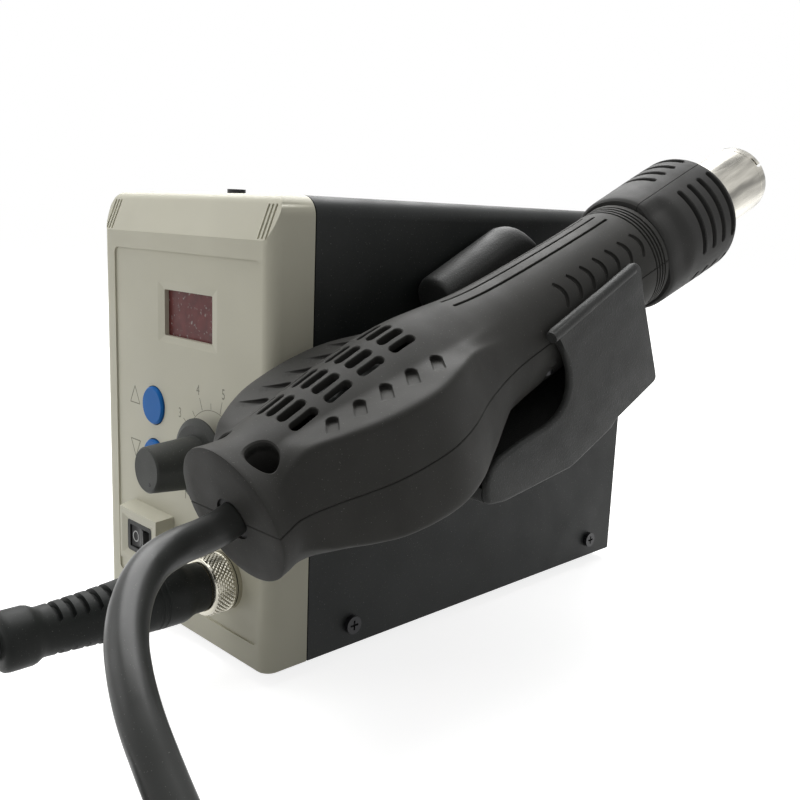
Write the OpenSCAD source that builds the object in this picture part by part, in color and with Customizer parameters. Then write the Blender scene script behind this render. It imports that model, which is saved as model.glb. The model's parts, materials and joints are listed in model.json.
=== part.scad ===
// Hot air rework station: a steel cased bench unit with a moulded front, a cradle on its
// side and a corded handpiece that holds its own fan and heater. Millimetres.
// Frame: X to the right seen from the front, Y to the back, Z up.
// The origin is on the bench, under the middle of the case.

/* [Case] */
// Width of the case
case_w = 95; // [88:0.5:102]
// Height of the case without its feet
case_h = 138.7; // [132:0.1:150]
// Depth of the case with the front moulding
case_d = 177.5; // [165:0.5:200]
// Thickness of the steel sheet
sheet_t = 1; // [0.8:0.1:1.4]
// Outer radius of the folds along the top of the case
fold_r = 5.7; // [4:0.1:8]
// Height that the feet lift the case
foot_h = 4; // [3:0.1:6]
// Radius of a foot
foot_r = 7; // [5:0.5:9]
// Distance of a foot's centre from the sides of the case
foot_in = 14; // [12:0.5:20]

/* [Front moulding] */
// Depth of the front moulding
bezel_d = 15.2; // [13:0.1:18]
// Wall of the front moulding
bezel_t = 2.4; // [2:0.1:3]
// Radius of the front moulding's upright edges
bezel_r = 4; // [2:0.1:6]
// Depth of the sunk panel that carries the controls
panel_sink = 0.6; // [0.3:0.1:1]
// Width of the sunk panel
panel_w = 82; // [74:0.5:84]
// Height of the sunk panel
panel_h = 113; // [108:0.5:114]
// Height of the sunk panel's lower edge above the case's underside
panel_z = 7.5; // [5:0.1:9]

/* [Display] */
// Width of the display window
window_w = 27; // [24:0.1:30]
// Height of the display window
window_h = 14.5; // [12:0.1:17]
// Sideways place of the display window
window_x = 4.1; // [2:0.1:8]
// Height of the window's centre above the case's underside
window_z = 101.4; // [98:0.1:104]
// Width of the sloped frame around the window
window_frame = 3.2; // [2:0.1:4]
// Depth of the sloped frame around the window
window_slope = 0.5; // [0.3:0.1:1]
// Depth of the window behind the panel
window_sink = 2; // [1.4:0.1:2]
// Thickness of the window
window_t = 1.6; // [1.2:0.1:2]

/* [Controls] */
// Radius of a button's cap
button_r = 6.2; // [5:0.1:7]
// Height of a button's cap in front of the panel
button_out = 1.1; // [0.9:0.1:3]
// Travel of a button
button_travel = 0.8; // [0.4:0.1:1.2]
// Gap around a button's cap
button_gap = 0.3; // [0.2:0.05:0.5]
// Sideways place of the buttons
button_x = -15.5; // [-18:0.1:-13]
// Height of the upper button's centre above the case's underside
up_z = 70.4; // [69:0.1:73]
// Height of the lower button's centre above the case's underside
down_z = 52.8; // [49:0.1:53.5]
// Sideways place of the airflow knob
knob_x = 18.5; // [16:0.1:20]
// Height of the knob's centre above the case's underside
knob_z = 59.6; // [57:0.1:62]
// Radius of the knob's skirt
knob_skirt_r = 13; // [12.6:0.1:14]
// Thickness of the knob's skirt
knob_skirt_t = 1.8; // [1.6:0.1:3]
// Radius of the knob's grip at its foot
knob_grip_r = 8; // [7.5:0.1:9]
// Radius of the knob's grip at its end
knob_end_r = 6.8; // [6:0.1:7.4]
// Length of the knob's grip
knob_grip_l = 16.1; // [13:0.1:19]
// Gap between the knob's skirt and the panel
knob_gap = 4.5; // [3:0.1:5]
// Radius of the potentiometer's shaft
pot_shaft_r = 3; // [2.5:0.1:3]
// Running clearance of the shaft in its bush
shaft_play = 0.05; // [0.03:0.01:0.08]
// Radius of the potentiometer's threaded bush
pot_bush_r = 4.7; // [4.4:0.1:5]

/* [Power switch] */
// Width of the switch's raised surround
surround_w = 25.5; // [22:0.1:27]
// Height of the switch's raised surround
surround_h = 20; // [17:0.1:21]
// Distance that the surround stands out of the panel
surround_out = 6.2; // [4:0.1:8]
// Sideways place of the power switch
switch_x = -16.6; // [-20:0.1:-14]
// Height of the switch's centre above the case's underside
switch_z = 25.4; // [24:0.1:27]
// Width of the switch's rim
switch_w = 15.4; // [15:0.1:16]
// Height of the switch's rim
switch_h = 10.6; // [10:0.1:11]
// Depth of the switch's rim behind the surround's front
switch_sink = 0.7; // [0.5:0.1:1.2]
// Tilt of the rocker in its off position
rocker_tilt = 8; // [6:0.5:10]

/* [Connector] */
// Sideways place of the handpiece connector
socket_x = 25.7; // [24:0.1:28]
// Height of the connector's centre above the case's underside
socket_z = 23.2; // [21:0.1:25]
// Radius of the connector's panel hole
socket_hole_r = 8; // [7.5:0.1:8.2]
// Outer radius of the knurled coupling nut
nut_r = 9.2; // [8.8:0.1:9.6]
// Length of the knurled coupling nut
nut_l = 7.7; // [7:0.1:9]
// Radius of the plug's rubber boot at its widest
boot_r = 9; // [8:0.1:10]
// Length of the plug's rubber boot
boot_l = 60; // [56:1:62]

/* [Cradle] */
// Half of the channel's width
channel_r = 18.25; // [18.2:0.05:18.6]
// Thickness of the cradle's outer wall
cradle_t = 2.6; // [2:0.1:3.2]
// Thickness of the cradle's floor
cradle_floor = 3; // [2.4:0.1:4]
// Rise of the cradle's floor towards the back, in degrees
cradle_tilt = 25.9; // [25:0.1:26.2]
// Radius of the screws that hold the cradle
cradle_screw_r = 2; // [1.5:0.1:2.2]

/* [Handpiece] */
// Sideways place of the handpiece's axis
hand_x = 79.5; // [79.5:0.1:82]
// Place of the handle's front end along the depth
hand_y = 30.9; // [30:0.1:33]
// Height of the handle's front end above the case's underside
hand_z = 123.7; // [123.7:0.1:126]
// Rise of the handpiece towards its nozzle, in degrees
hand_tilt = 21.4; // [21:0.1:22]
// Wall of the handle's shells
shell_t = 2.2; // [1.8:0.1:2.6]
// Distance from the handle's front end to its rear end
handle_l = 164; // [160:1:168]
// Radius of the handle's flat rear end
rear_r = 18.3; // [17:0.1:19]
// Radius of the fan's housing
fan_r = 16.6; // [16:0.1:17]
// Length of the fan's housing
fan_l = 22; // [18:0.5:24]
// Height that the handpiece lifts out of the cradle
lift_travel = 60; // [50:1:90]

/* [Nozzle end] */
// Outer radius of the heat cover at the handle
cover_r = 18.3; // [18:0.1:19]
// Outer radius of the heat cover at its front
cover_front_r = 20.6; // [19:0.1:21]
// Length of the heat cover
cover_l = 40; // [36:0.5:44]
// Wall of the heat cover
cover_t = 2; // [1.6:0.1:2.4]
// Gap between the handle and the heat cover
cover_gap = 0.8; // [0.4:0.1:1.2]
// Outer radius of the steel nozzle tube
tube_r = 12.75; // [12:0.05:13]
// Wall of the steel nozzle tube
tube_t = 0.8; // [0.6:0.1:1]
// Distance from the handle's front end to the nozzle tube's mouth
tube_end = 78.6; // [74:0.2:84]
// Width of the collar at the nozzle tube's mouth
collar_l = 7; // [5:0.5:9]

/* [Boards and power parts] */
// Thickness of a circuit board
board_t = 1.6; // [1.4:0.1:2]
// Width of the main board
main_w = 76; // [68:1:80]
// Depth of the main board
main_d = 104; // [92:1:108]
// Height of the main board's standoffs
standoff_h = 7; // [5:0.5:9]
// Width of the transformer's core
core_w = 40; // [34:1:44]
// Height of the transformer's core
core_h = 33; // [28:1:38]
// Height of the heat sink
sink_h = 45; // [36:1:54]
// Width of the mains inlet's cavity
inlet_w = 24.5; // [24.2:0.1:25]
// Height of the mains inlet's cavity
inlet_h = 16.5; // [16.2:0.1:17]

/* [Hidden] */
$fn = 48;

e = 0.01;
front_y = -case_d / 2;
back_y = case_d / 2;
seam_y = front_y + bezel_d;
z0 = foot_h;
top_z = z0 + case_h;
panel_y = front_y + panel_sink;
plate_in = panel_y + bezel_t;
board_y = plate_in + 6;
case_seam = 0.4;
head_h = 1.6;

// Plain shapes

module rounded(w, h, r) {
    square([w - 2 * r, h], center = true);
    square([w, h - 2 * r], center = true);
    for (x = [-1, 1], y = [-1, 1]) translate([x * (w / 2 - r), y * (h / 2 - r)]) circle(r);
}

// A rounded slab that stands across the depth, from y0 towards the back
module slab(w, h, r, y0, t) {
    translate([0, y0 + t, 0]) rotate([90, 0, 0]) linear_extrude(t) rounded(w, h, r);
}

// A cylinder along the depth, from y0 towards the back
module bar_y(r, y0, l, f = 48) {
    translate([0, y0 + l, 0]) rotate([90, 0, 0]) cylinder(r = r, h = l, $fn = f);
}

// A pan head screw that points up, its head's underside at the origin
module screw(r, l, head_r) {
    translate([0, 0, -e]) cylinder(r = r, h = l + e, $fn = 24);
    difference() {
        translate([0, 0, -head_h]) cylinder(r = head_r, h = head_h, $fn = 32);
        for (a = [0, 90]) rotate([0, 0, a])
            translate([-head_r * 0.55, -0.35, -head_h - 1]) cube([head_r * 1.1, 0.7, 1.8]);
    }
}

// Case

// The case's outline from the front: square below, folded corners above
module case_outline(inset) {
    r = fold_r - inset;
    w = case_w - 2 * inset;
    translate([-w / 2, z0]) square([w, case_h - inset - r]);
    translate([-w / 2 + r, z0]) square([w - 2 * r, case_h - inset]);
    for (x = [-1, 1]) translate([x * (w / 2 - r), top_z - inset - r]) circle(r);
}

module along_y(y0, l) {
    translate([0, y0 + l, 0]) rotate([90, 0, 0]) linear_extrude(l) children();
}

side_screw_y = [-55.7, 73.2];
side_screw_z = z0 + 7;
cover_screw_r = 1.5;
cover_head_r = 2.9;
top_screw_y = seam_y + 6.3;
flange_h = 14;
tab_gap = 0.1;

module top_cover() {
    color("#1c1c1e") difference() {
        along_y(seam_y + case_seam, case_d - bezel_d - case_seam) case_outline(0);
        along_y(seam_y, case_d) difference() {
            case_outline(sheet_t);
            translate([-case_w, z0 - 1]) square([0.1, 0.1]);
        }
        translate([-case_w / 2 + sheet_t, seam_y - 1, z0 - 1])
            cube([case_w - 2 * sheet_t, case_d, 10]);
        for (y = side_screw_y) translate([-case_w, y, side_screw_z]) rotate([0, 90, 0])
            cylinder(r = cover_screw_r + 0.2, h = 2 * case_w, $fn = 24);
        translate([0, top_screw_y, top_z - 5])
            cylinder(r = cover_screw_r + 0.2, h = 10, $fn = 24);
        for (p = cradle_screw_at) translate([case_w / 2 - 5, p[0], z0 + p[1]]) rotate([0, 90, 0])
            cylinder(r = cradle_screw_r + 0.2, h = 10, $fn = 24);
    }
}

in_w = case_w - 2 * sheet_t - 0.2;
base_front = seam_y + case_seam;

module base_plate() {
    difference() {
        color("#232325") union() {
            translate([-in_w / 2, base_front, z0]) cube([in_w, back_y - base_front, sheet_t]);
            for (x = [-1, 1]) translate([x * (in_w - sheet_t) / 2 - sheet_t / 2, base_front, z0])
                cube([sheet_t, back_y - rear_t - panel_in - base_front, flange_h]);
        }
        for (y = side_screw_y) translate([-case_w, y, side_screw_z]) rotate([0, 90, 0])
            cylinder(r = cover_screw_r + 0.05, h = 2 * case_w, $fn = 24);
        foot_places() translate([0, 0, -1])
            cylinder(r = foot_screw_r + 0.05, h = 5 + sheet_t, $fn = 24);
        standoff_places() translate([0, 0, z0 - 1])
            cylinder(r = 1.55, h = 2 + sheet_t, $fn = 24);
        for (x = [-30:6:30], y = [-20, 20]) translate([x, y, z0 - 1])
            slot_z(2.4, 24, 3 + sheet_t);
    }
}

// An upright slot through a flat sheet, along the depth
module slot_z(w, l, h, f = 24) {
    translate([-w / 2, -(l - w) / 2, 0]) cube([w, l - w, h]);
    for (y = [-1, 1]) translate([0, y * (l - w) / 2, 0]) cylinder(r = w / 2, h = h, $fn = f);
}

rear_t = sheet_t;
panel_in = 0.2;
inlet_x = -22;
inlet_z = z0 + 30;
inlet_screw_dx = 20;

module rear_panel() {
    color("#1f1f21") difference() {
        translate([0, back_y - rear_t - panel_in, 0]) translate([-in_w / 2, 0, z0 + sheet_t])
            cube([in_w, rear_t, case_h - 2 * sheet_t - 0.2]);
        for (x = [-1, 1]) translate([x * (in_w / 2), 0, top_z - sheet_t]) rotate([0, 45, 0])
            cube([6.4, 3 * case_d, 6.4], center = true);
        translate([inlet_x, 0, inlet_z])
            slab(inlet_w + 3.2, inlet_h + 3.2, 3, back_y - 5, 10);
        for (x = [-1, 1]) translate([inlet_x + x * inlet_screw_dx, 0, inlet_z])
            bar_y(1.65, back_y - 5, 10, 24);
        for (z = [70:7:112]) translate([0, back_y - 5, z0 + z]) rotate([-90, 0, 0])
            rotate([0, 0, 90]) slot_z(2.6, 44, 10);
    }
}

module cover_screws() {
    color("#2a2a2c") {
        for (s = [-1, 1], y = side_screw_y)
            translate([s * case_w / 2, y, side_screw_z]) rotate([0, -90 * s, 0])
                screw(cover_screw_r, 5, cover_head_r);
        translate([0, top_screw_y, top_z]) rotate([180, 0, 0])
            screw(cover_screw_r, 5, cover_head_r);
    }
}

foot_screw_r = 1.5;
foot_top = z0;

module foot_places() {
    for (x = [-1, 1], y = [-1, 1])
        translate([x * (case_w / 2 - foot_in), y * (case_d / 2 - bezel_d - foot_in), 0])
            children();
}

module rubber_feet() {
    color("#161616") foot_places() difference() {
        cylinder(r = foot_r, h = foot_top);
        translate([0, 0, 0.5]) cylinder(r = foot_screw_r + 0.1, h = foot_top, $fn = 24);
    }
}

module foot_screws() {
    color("silver") foot_places() {
        translate([0, 0, 0.6]) cylinder(r = foot_screw_r, h = foot_h + sheet_t + 1.8, $fn = 24);
        translate([0, 0, z0 + sheet_t]) difference() {
            cylinder(r = 2.9, h = 2, $fn = 6);
            translate([0, 0, -1]) cylinder(r = foot_screw_r + 0.03, h = 4, $fn = 24);
        }
    }
}

// Front moulding

// Above header_z the front leans back, and a large radius leads into the top
header_z = z0 + 126;
header_tilt = 22;
header_r = 4;
groove_l = 10.4;

// What the header's slope takes away from a block that is set back by inset
module header_cut(inset) {
    t = tan(header_tilt);
    k = front_y + inset / cos(header_tilt);
    r = header_r - inset;
    z = top_z - header_r;
    y = front_y + (z - header_z) * t + header_r / cos(header_tilt);
    translate([-case_w, 0, 0]) rotate([90, 0, 90]) linear_extrude(2 * case_w) {
        polygon([[k - 20 * t, header_z - 20], [front_y - 40, header_z - 20],
            [front_y - 40, header_z + 50], [k + 50 * t, header_z + 50]]);
        translate([y, z]) difference() {
            polygon([[0, 0], [0, r + 12],
                [-(r + 12) * cos(header_tilt), (r + 12) * sin(header_tilt)]]);
            circle(r);
        }
    }
}

module bezel_block(inset, y0, l) {
    difference() {
        bezel_slab(inset, y0, l);
        header_cut(inset);
    }
}

module bezel_slab(inset, y0, l) {
    intersection() {
        along_y(y0, l) case_outline(inset);
        translate([0, 0, -1]) linear_extrude(top_z + 2) {
            w = case_w - 2 * inset;
            r = max(bezel_r - inset, 0.5);
            translate([-w / 2, y0 + r]) square([w, l]);
            translate([-w / 2 + r, y0]) square([w - 2 * r, l]);
            for (x = [-1, 1]) translate([x * (w / 2 - r), y0 + r]) circle(r);
        }
    }
}

// Sloped walls from the panel down to the display window
module window_funnel() {
    d = window_slope;
    f = window_frame * (1 + 1 / d);
    translate([window_x, panel_y - 1, z0 + window_z]) intersection() {
        translate([0, 0, -window_h]) linear_extrude(2 * window_h) polygon([
            [-window_w / 2 - f, 0], [window_w / 2 + f, 0],
            [window_w / 2, 1 + d], [-window_w / 2, 1 + d]]);
        rotate([90, 0, 90]) translate([0, 0, -window_w]) linear_extrude(2 * window_w) polygon([
            [0, -window_h / 2 - f * 0.7], [0, window_h / 2 + f * 0.7],
            [1 + d, window_h / 2], [1 + d, -window_h / 2]]);
    }
}

surround_y = panel_y - surround_out;
surround_draft = 1;

// The surround narrows towards its front
module surround_block() {
    w = surround_w / 2;
    h = surround_h / 2;
    d = surround_draft;
    intersection() {
        slab(surround_w, surround_h, 1, surround_y, surround_out + 1);
        translate([0, surround_y, -surround_h]) linear_extrude(2 * surround_h) polygon([
            [d - w, 0], [w - d, 0], [w, surround_out], [w, surround_out + 2],
            [-w, surround_out + 2], [-w, surround_out]]);
        translate([0, surround_y, 0]) rotate([90, 0, 90]) translate([0, 0, -surround_w])
            linear_extrude(2 * surround_w) polygon([
                [0, d - h], [0, h - d], [surround_out, h], [surround_out + 2, h],
                [surround_out + 2, -h], [surround_out, -h]]);
    }
}

// Sloped walls from the surround's front down to the switch's rim
module switch_funnel() {
    d = switch_sink;
    w = surround_w / 2 - surround_draft - 1.2;
    h = surround_h / 2 - surround_draft - 2;
    translate([0, surround_y, 0]) intersection() {
        translate([0, 0, -surround_h]) linear_extrude(2 * surround_h) polygon([
            [-w, -e], [w, -e], [switch_w / 2 + 0.1, d], [-switch_w / 2 - 0.1, d]]);
        rotate([90, 0, 90]) translate([0, 0, -surround_w]) linear_extrude(2 * surround_w)
            polygon([[-e, -h], [-e, h], [d, switch_h / 2 + 0.1], [d, -switch_h / 2 - 0.1]]);
    }
}

module front_bezel() {
    color("#cfcbbe") difference() {
        union() {
            difference() {
                bezel_block(0, front_y, bezel_d);
                difference() {
                    bezel_block(bezel_t, plate_in, bezel_d);
                    translate([0, 0, z0 + window_z])
                        translate([window_x, 0, 0]) slab(window_w + 5, window_h + 5, 1,
                            plate_in - 1, 2.6);
                    for (p = board_post_at) translate([p[0], 0, p[1]])
                        bar_y(3.4, plate_in - e, board_y - plate_in + e, 24);
                    translate([switch_x, 0, z0 + switch_z])
                        slab(surround_w, surround_h, 1, plate_in - 1, 1 + e);
                }
            }
            translate([switch_x, 0, z0 + switch_z])
                surround_block();
            translate([-9, plate_in, top_z - bezel_t - 4]) cube([18, 4, 4 + e]);
            translate([-9, plate_in, top_z - sheet_t - tab_gap - 4])
                cube([18, top_screw_y + 5 - plate_in, 4]);
            for (x = [-28, 14]) translate([x, seam_y - 4, z0 + sheet_t + tab_gap])
                cube([14, 12, bezel_t]);
        }
        translate([0, top_screw_y, top_z - 8]) cylinder(r = cover_screw_r + 0.05, h = 8, $fn = 24);
        difference() {
            translate([1.5, 0, z0 + panel_z + panel_h / 2])
                slab(panel_w, panel_h, 2, front_y - 1, 1 + panel_sink);
            translate([switch_x, 0, z0 + switch_z]) surround_block();
        }
        header_cut(0);
        for (s = [-1, 1], k = [0:2])
            translate([s * (case_w / 2 - 6.2 + k * 1.75), front_y, header_z])
                rotate([-header_tilt, 0, 0]) translate([0, 0, 0.4 + groove_l / 2])
                    slab(0.9, groove_l, 0.4, -1, 1.4);
        window_funnel();
        translate([window_x, 0, z0 + window_z])
            slab(window_w, window_h, 0.5, panel_y, window_sink + e);
        translate([window_x, 0, z0 + window_z])
            slab(window_w + 1.6, window_h + 1.6, 0.5, window_y, 8);
        for (z = [up_z, down_z]) translate([button_x, 0, z0 + z])
            bar_y(button_r + button_gap, front_y - 1, 8);
        translate([knob_x, 0, z0 + knob_z]) bar_y(pot_bush_r + 0.1, front_y - 1, 12);
        translate([switch_x, 0, z0 + switch_z]) {
            slab(switch_w - 2 + 0.2, switch_h - 2 + 0.2, 0.6, surround_y - 1, 24);
            slab(switch_w + 0.2, switch_h + 0.2, 1, surround_y - 1, 1 + switch_y - surround_y);
            switch_funnel();
        }
        translate([socket_x, 0, z0 + socket_z])
            bar_y(socket_hole_r + 0.05, front_y - 1, 8);
        for (p = board_post_at) translate([p[0], 0, p[1]])
            bar_y(1.25, board_y - 6, 8, 24);
    }
}

window_y = panel_y + window_sink;

module display_window() {
    color([0.55, 0.2, 0.2, 0.8]) translate([window_x, 0, z0 + window_z])
        slab(window_w + 1.4, window_h + 1.4, 0.4, window_y + e, window_t);
}

module_gap = 0.2;
module_d = board_y - window_y - window_t - module_gap - e;

module display_module() {
    color("#3a1718") translate([window_x, 0, z0 + window_z]) {
        slab(window_w - 1, window_h - 1, 0.3, board_y - module_d, module_d);
        for (x = [-1, 1], k = [0:4]) translate([k * 4 - 8, 0, x * (window_h / 2 - 2)])
            bar_y(0.3, board_y - 0.5, board_t + 1.5, 16);
    }
}

board_side_gap = 3.1;
ctrl_w = case_w - 2 * bezel_t - 2 * board_side_gap;
ctrl_z0 = z0 + 38;
ctrl_h = 80;
post_x = ctrl_w / 2 - 4;
board_post_at = [for (z = [ctrl_z0 + ctrl_h - 6, ctrl_z0 + 4], x = [-post_x, post_x])
    [x > 0 && z < ctrl_z0 + 9 ? x + 2 : x, z]];

module control_board() {
    color("#2f6b3c") difference() {
        translate([-ctrl_w / 2, board_y, ctrl_z0]) cube([ctrl_w, board_t, ctrl_h]);
        for (p = board_post_at) translate([p[0], 0, p[1]]) bar_y(1.6, board_y - 1, 6, 24);
        translate([window_x, 0, z0 + window_z])
            for (x = [-1, 1], k = [0:4]) translate([k * 4 - 8, 0, x * (window_h / 2 - 2)])
                bar_y(0.32, board_y - 1, board_t + 2, 16);
        for (z = [-5, 0, 5]) translate([knob_x + z, 0, z0 + knob_z - 10.5])
            bar_y(0.6, board_y - 1, board_t + 2, 16);
    }
}

module board_screws() {
    color("silver") for (p = board_post_at)
        translate([p[0], board_y + board_t, p[1]]) rotate([90, 0, 0]) screw(1.2, 5, 2.6);
}

tact_y = board_y - 3.6;

module tact_switches() {
    color("#222222") for (z = [up_z, down_z]) translate([button_x, 0, z0 + z]) {
        slab(6, 6, 0.3, tact_y, board_y - tact_y);
        bar_y(1.7, tact_y - 0.3, 0.4, 24);
    }
}

cap_back = tact_y - 0.3 - button_travel - 0.15;
cap_front = panel_y - button_out;

// A hollow cap with a stem, and a flange that keeps it behind the panel
module button(z) {
    floor_y = cap_front + 1.6;
    flange_y = plate_in + 0.1;
    wall_r = button_r - 1.6;
    color("#2e7fc8") translate([button_x, 0, z0 + z]) rotate([90, 0, 0])
        rotate_extrude($fn = 64) polygon([
            [0, -cap_back], [1.6, -cap_back], [1.6, -floor_y], [wall_r, -floor_y],
            [wall_r, -cap_back], [button_r + 0.9, -cap_back], [button_r + 0.9, -flange_y],
            [button_r, -flange_y], [button_r, -cap_front - 0.5],
            [button_r - 0.5, -cap_front], [0, -cap_front]]);
}

module up_button() { button(up_z); }

module down_button() { button(down_z); }

pot_body_r = 8.2;
pot_body_d = board_y - plate_in - 0.1;
pot_nut_t = 1.8;
pot_nut_r = pot_bush_r + 1.9;
bush_front = panel_y - pot_nut_t - 0.2;

module potentiometer() {
    color("#8f9499") translate([knob_x, 0, z0 + knob_z]) difference() {
        union() {
            bar_y(pot_body_r, board_y - pot_body_d, pot_body_d);
            bar_y(pot_bush_r, bush_front, board_y - pot_body_d - bush_front + e);
            for (x = [-5, 0, 5]) translate([x, 0, -10.5]) {
                bar_y(0.5, board_y - 2, 2 + board_t + 1, 16);
            }
            translate([-6.5, board_y - 2.4, -11.4]) cube([13, 1.6, 6]);
        }
        bar_y(pot_shaft_r + shaft_play, bush_front - 1, board_y - bush_front);
    }
}

module pot_nut() {
    color("silver") translate([knob_x, 0, z0 + knob_z]) difference() {
        bar_y(pot_nut_r, panel_y - pot_nut_t, pot_nut_t, 6);
        bar_y(pot_bush_r + 0.03, panel_y - pot_nut_t - 1, pot_nut_t + 2);
    }
}

shaft_front = panel_y - knob_gap - knob_skirt_t - 10;

module pot_shaft() {
    color("silver") translate([knob_x, 0, z0 + knob_z]) difference() {
        bar_y(pot_shaft_r, shaft_front, board_y - 1.5 - shaft_front);
        translate([-5, shaft_front - 1, 1.6]) cube([10, 10, 5]);
    }
}

module airflow_knob() {
    skirt_y = panel_y - knob_gap - knob_skirt_t;
    end_y = skirt_y - knob_grip_l;
    color("#1b1b1c") translate([knob_x, 0, z0 + knob_z]) difference() {
        rotate([90, 0, 0]) rotate_extrude($fn = 64) polygon([
            [0, -skirt_y - knob_skirt_t], [knob_skirt_r, -skirt_y - knob_skirt_t],
            [knob_skirt_r, -skirt_y - knob_skirt_t + 0.6], [knob_skirt_r - 2, -skirt_y],
            [knob_grip_r, -skirt_y], [knob_end_r, -end_y - 0.5],
            [knob_end_r - 0.5, -end_y], [0, -end_y]]);
        difference() {
            bar_y(pot_shaft_r + 0.02, shaft_front - 0.1, 30);
            translate([-5, shaft_front - 1, 1.62]) cube([10, 10 - 0.1, 5]);
        }
        bar_y(pot_nut_r + 0.6, bush_front - 0.3, 5);
    }
}

// Power switch

switch_rim = 1.6;
switch_y = surround_y + switch_sink + switch_rim;
pivot_y = switch_y + 0.6;
pivot_l = switch_h - 2.4;
well_w = switch_w - 3;
well_h = switch_h - 3;

module switch_body() {
    color("#151516") translate([switch_x, 0, z0 + switch_z]) difference() {
        union() {
            slab(switch_w, switch_h, 1, switch_y - switch_rim, switch_rim);
            slab(switch_w - 2, switch_h - 2, 0.5, switch_y - e, 12);
            for (x = [-1, 1]) translate([x * 3.5, 0, 0]) slab(0.8, 4.2, 0.2, switch_y + 11, 8);
        }
        slab(well_w, well_h, 0.4, switch_y - switch_rim - 1, switch_rim + 7.5);
        translate([0, pivot_y, -pivot_l / 2 - 0.1]) cylinder(r = 0.85, h = pivot_l + 0.2, $fn = 24);
    }
}

module switch_rocker() {
    w = well_w - 0.7;
    h = well_h - 0.6;
    color("#101011") translate([switch_x, pivot_y, z0 + switch_z]) rotate([0, 0, -rocker_tilt]) {
        intersection() {
            translate([-w / 2, -3.4, -h / 2]) cube([w, 6.8, h]);
            translate([0, 0, -h / 2]) linear_extrude(h) difference() {
                translate([0, 0.5]) circle(r = w / 2, $fn = 64);
                translate([0, -1.7 - w * 1.05]) circle(r = w * 1.05, $fn = 96);
            }
        }
        translate([0, 0, -pivot_l / 2]) cylinder(r = 0.8, h = pivot_l, $fn = 24);
    }
}

// Handpiece connector

flange_t = 1.4;
flange_r = 9;
socket_core_r = 5.6;
ring_y = panel_y - flange_t - 0.15 - nut_l;
thread_r = 7.4;
thread_l = nut_l - 3.4;

module at_socket() { translate([socket_x, 0, z0 + socket_z]) children(); }

module panel_socket() {
    color("#b9bcc0") at_socket() difference() {
        union() {
            bar_y(flange_r, panel_y - flange_t, flange_t);
            bar_y(socket_hole_r, panel_y - e, bezel_t + 8);
            bar_y(thread_r, panel_y - flange_t - thread_l, thread_l + 0.5);
            for (a = [0:60:359]) rotate([0, a, 0]) translate([3.4, 0, 0])
                bar_y(0.6, panel_y + 8, 6, 16);
        }
        difference() {
            bar_y(socket_core_r + 0.4, panel_y - flange_t - 7, 12);
            for (a = [0:60:359]) rotate([0, a, 0]) translate([3.4, 0, 0])
                bar_y(0.6, panel_y - flange_t - 4, 16, 16);
        }
    }
}

module socket_nut() {
    color("#b9bcc0") at_socket() difference() {
        bar_y(socket_hole_r + 2.2, plate_in, 3, 6);
        bar_y(socket_hole_r + 0.03, plate_in - 1, 5);
    }
}

module coupling_nut() {
    color("#c4c6c8") at_socket() difference() {
        union() {
            bar_y(nut_r - 0.4, ring_y, nut_l);
            bar_y(nut_r, ring_y + 1, nut_l - 2, 96);
        }
        bar_y(thread_r + 0.08, ring_y + 1.8, nut_l);
        bar_y(shell_neck_r + 0.08, ring_y - 1, nut_l + 2);
        for (a = [0:10:359]) rotate([0, a, 0]) translate([nut_r + 0.25, 0, 0])
            rotate([0, 45, 0]) translate([-0.4, ring_y + 1, -0.4]) cube([0.8, nut_l - 2, 0.8]);
    }
}

shell_neck_r = 7;
shell_end = ring_y - 8;

module plug_shell() {
    color("#b9bcc0") at_socket() difference() {
        union() {
            bar_y(shell_neck_r, shell_end, ring_y + 1.6 - shell_end);
            bar_y(thread_r - 0.1, ring_y + 1.9, 1, 48);
            bar_y(shell_neck_r, ring_y + 1.5, 1, 48);
            bar_y(socket_core_r, ring_y + 1.9, nut_l - 3.4);
        }
        bar_y(2.4, shell_end - 1, 7);
        for (a = [0:60:359]) rotate([0, a, 0]) translate([3.4, 0, 0])
            bar_y(0.75, panel_y - flange_t - 5, 16, 16);
    }
}

boot_front = ring_y - 0.2;
boot_end = boot_front - boot_l;
lead_r = 4.25;
boot_tip_r = 7.6;

// The rubber boot: a collar, a body, a ribbed part that bends and a bulb at its end
module plug_boot() {
    ribs = 5;
    pitch = 3.7;
    rib0 = -boot_front + 29.5;
    color("#1d1d1f") at_socket() difference() {
        rotate([90, 0, 0]) rotate_extrude($fn = 48) difference() {
            polygon([[0, -boot_front], [shell_neck_r + 0.4, -boot_front],
                [shell_neck_r + 0.4, -boot_front + 3.5], [boot_r - 0.6, -boot_front + 6.5],
                [boot_r - 0.2, -boot_front + 9], [boot_r - 0.2, -boot_front + 20],
                [boot_r - 1, rib0], [6.6, rib0 + ribs * pitch],
                [boot_tip_r, -boot_end - 8.5], [boot_tip_r, -boot_end - 2.5],
                [boot_tip_r - 1.6, -boot_end - 0.4], [boot_tip_r - 2.4, -boot_end],
                [0, -boot_end]]);
            for (k = [0:ribs - 1]) translate([5.6, rib0 + k * pitch]) square([9, 1.5]);
        }
        bar_y(shell_neck_r + 0.05, shell_end, 20);
        bar_y(lead_r + 0.05, boot_end - 1, boot_l);
        for (a = [0, 180]) rotate([0, a, 0]) translate([5, boot_end + 8, -2])
            cube([6, ribs * pitch + 4, 4]);
    }
}

// Boards and power parts

board_z = z0 + sheet_t + standoff_h;
board_cy = 2;

// The board's holes lie inwards of the feet's screws
module standoff_places() {
    for (x = [-1, 1], y = [-1, 1])
        translate([x * (main_w / 2 - 5), board_cy + y * 0.42 * main_d, 0]) children();
}

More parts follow.
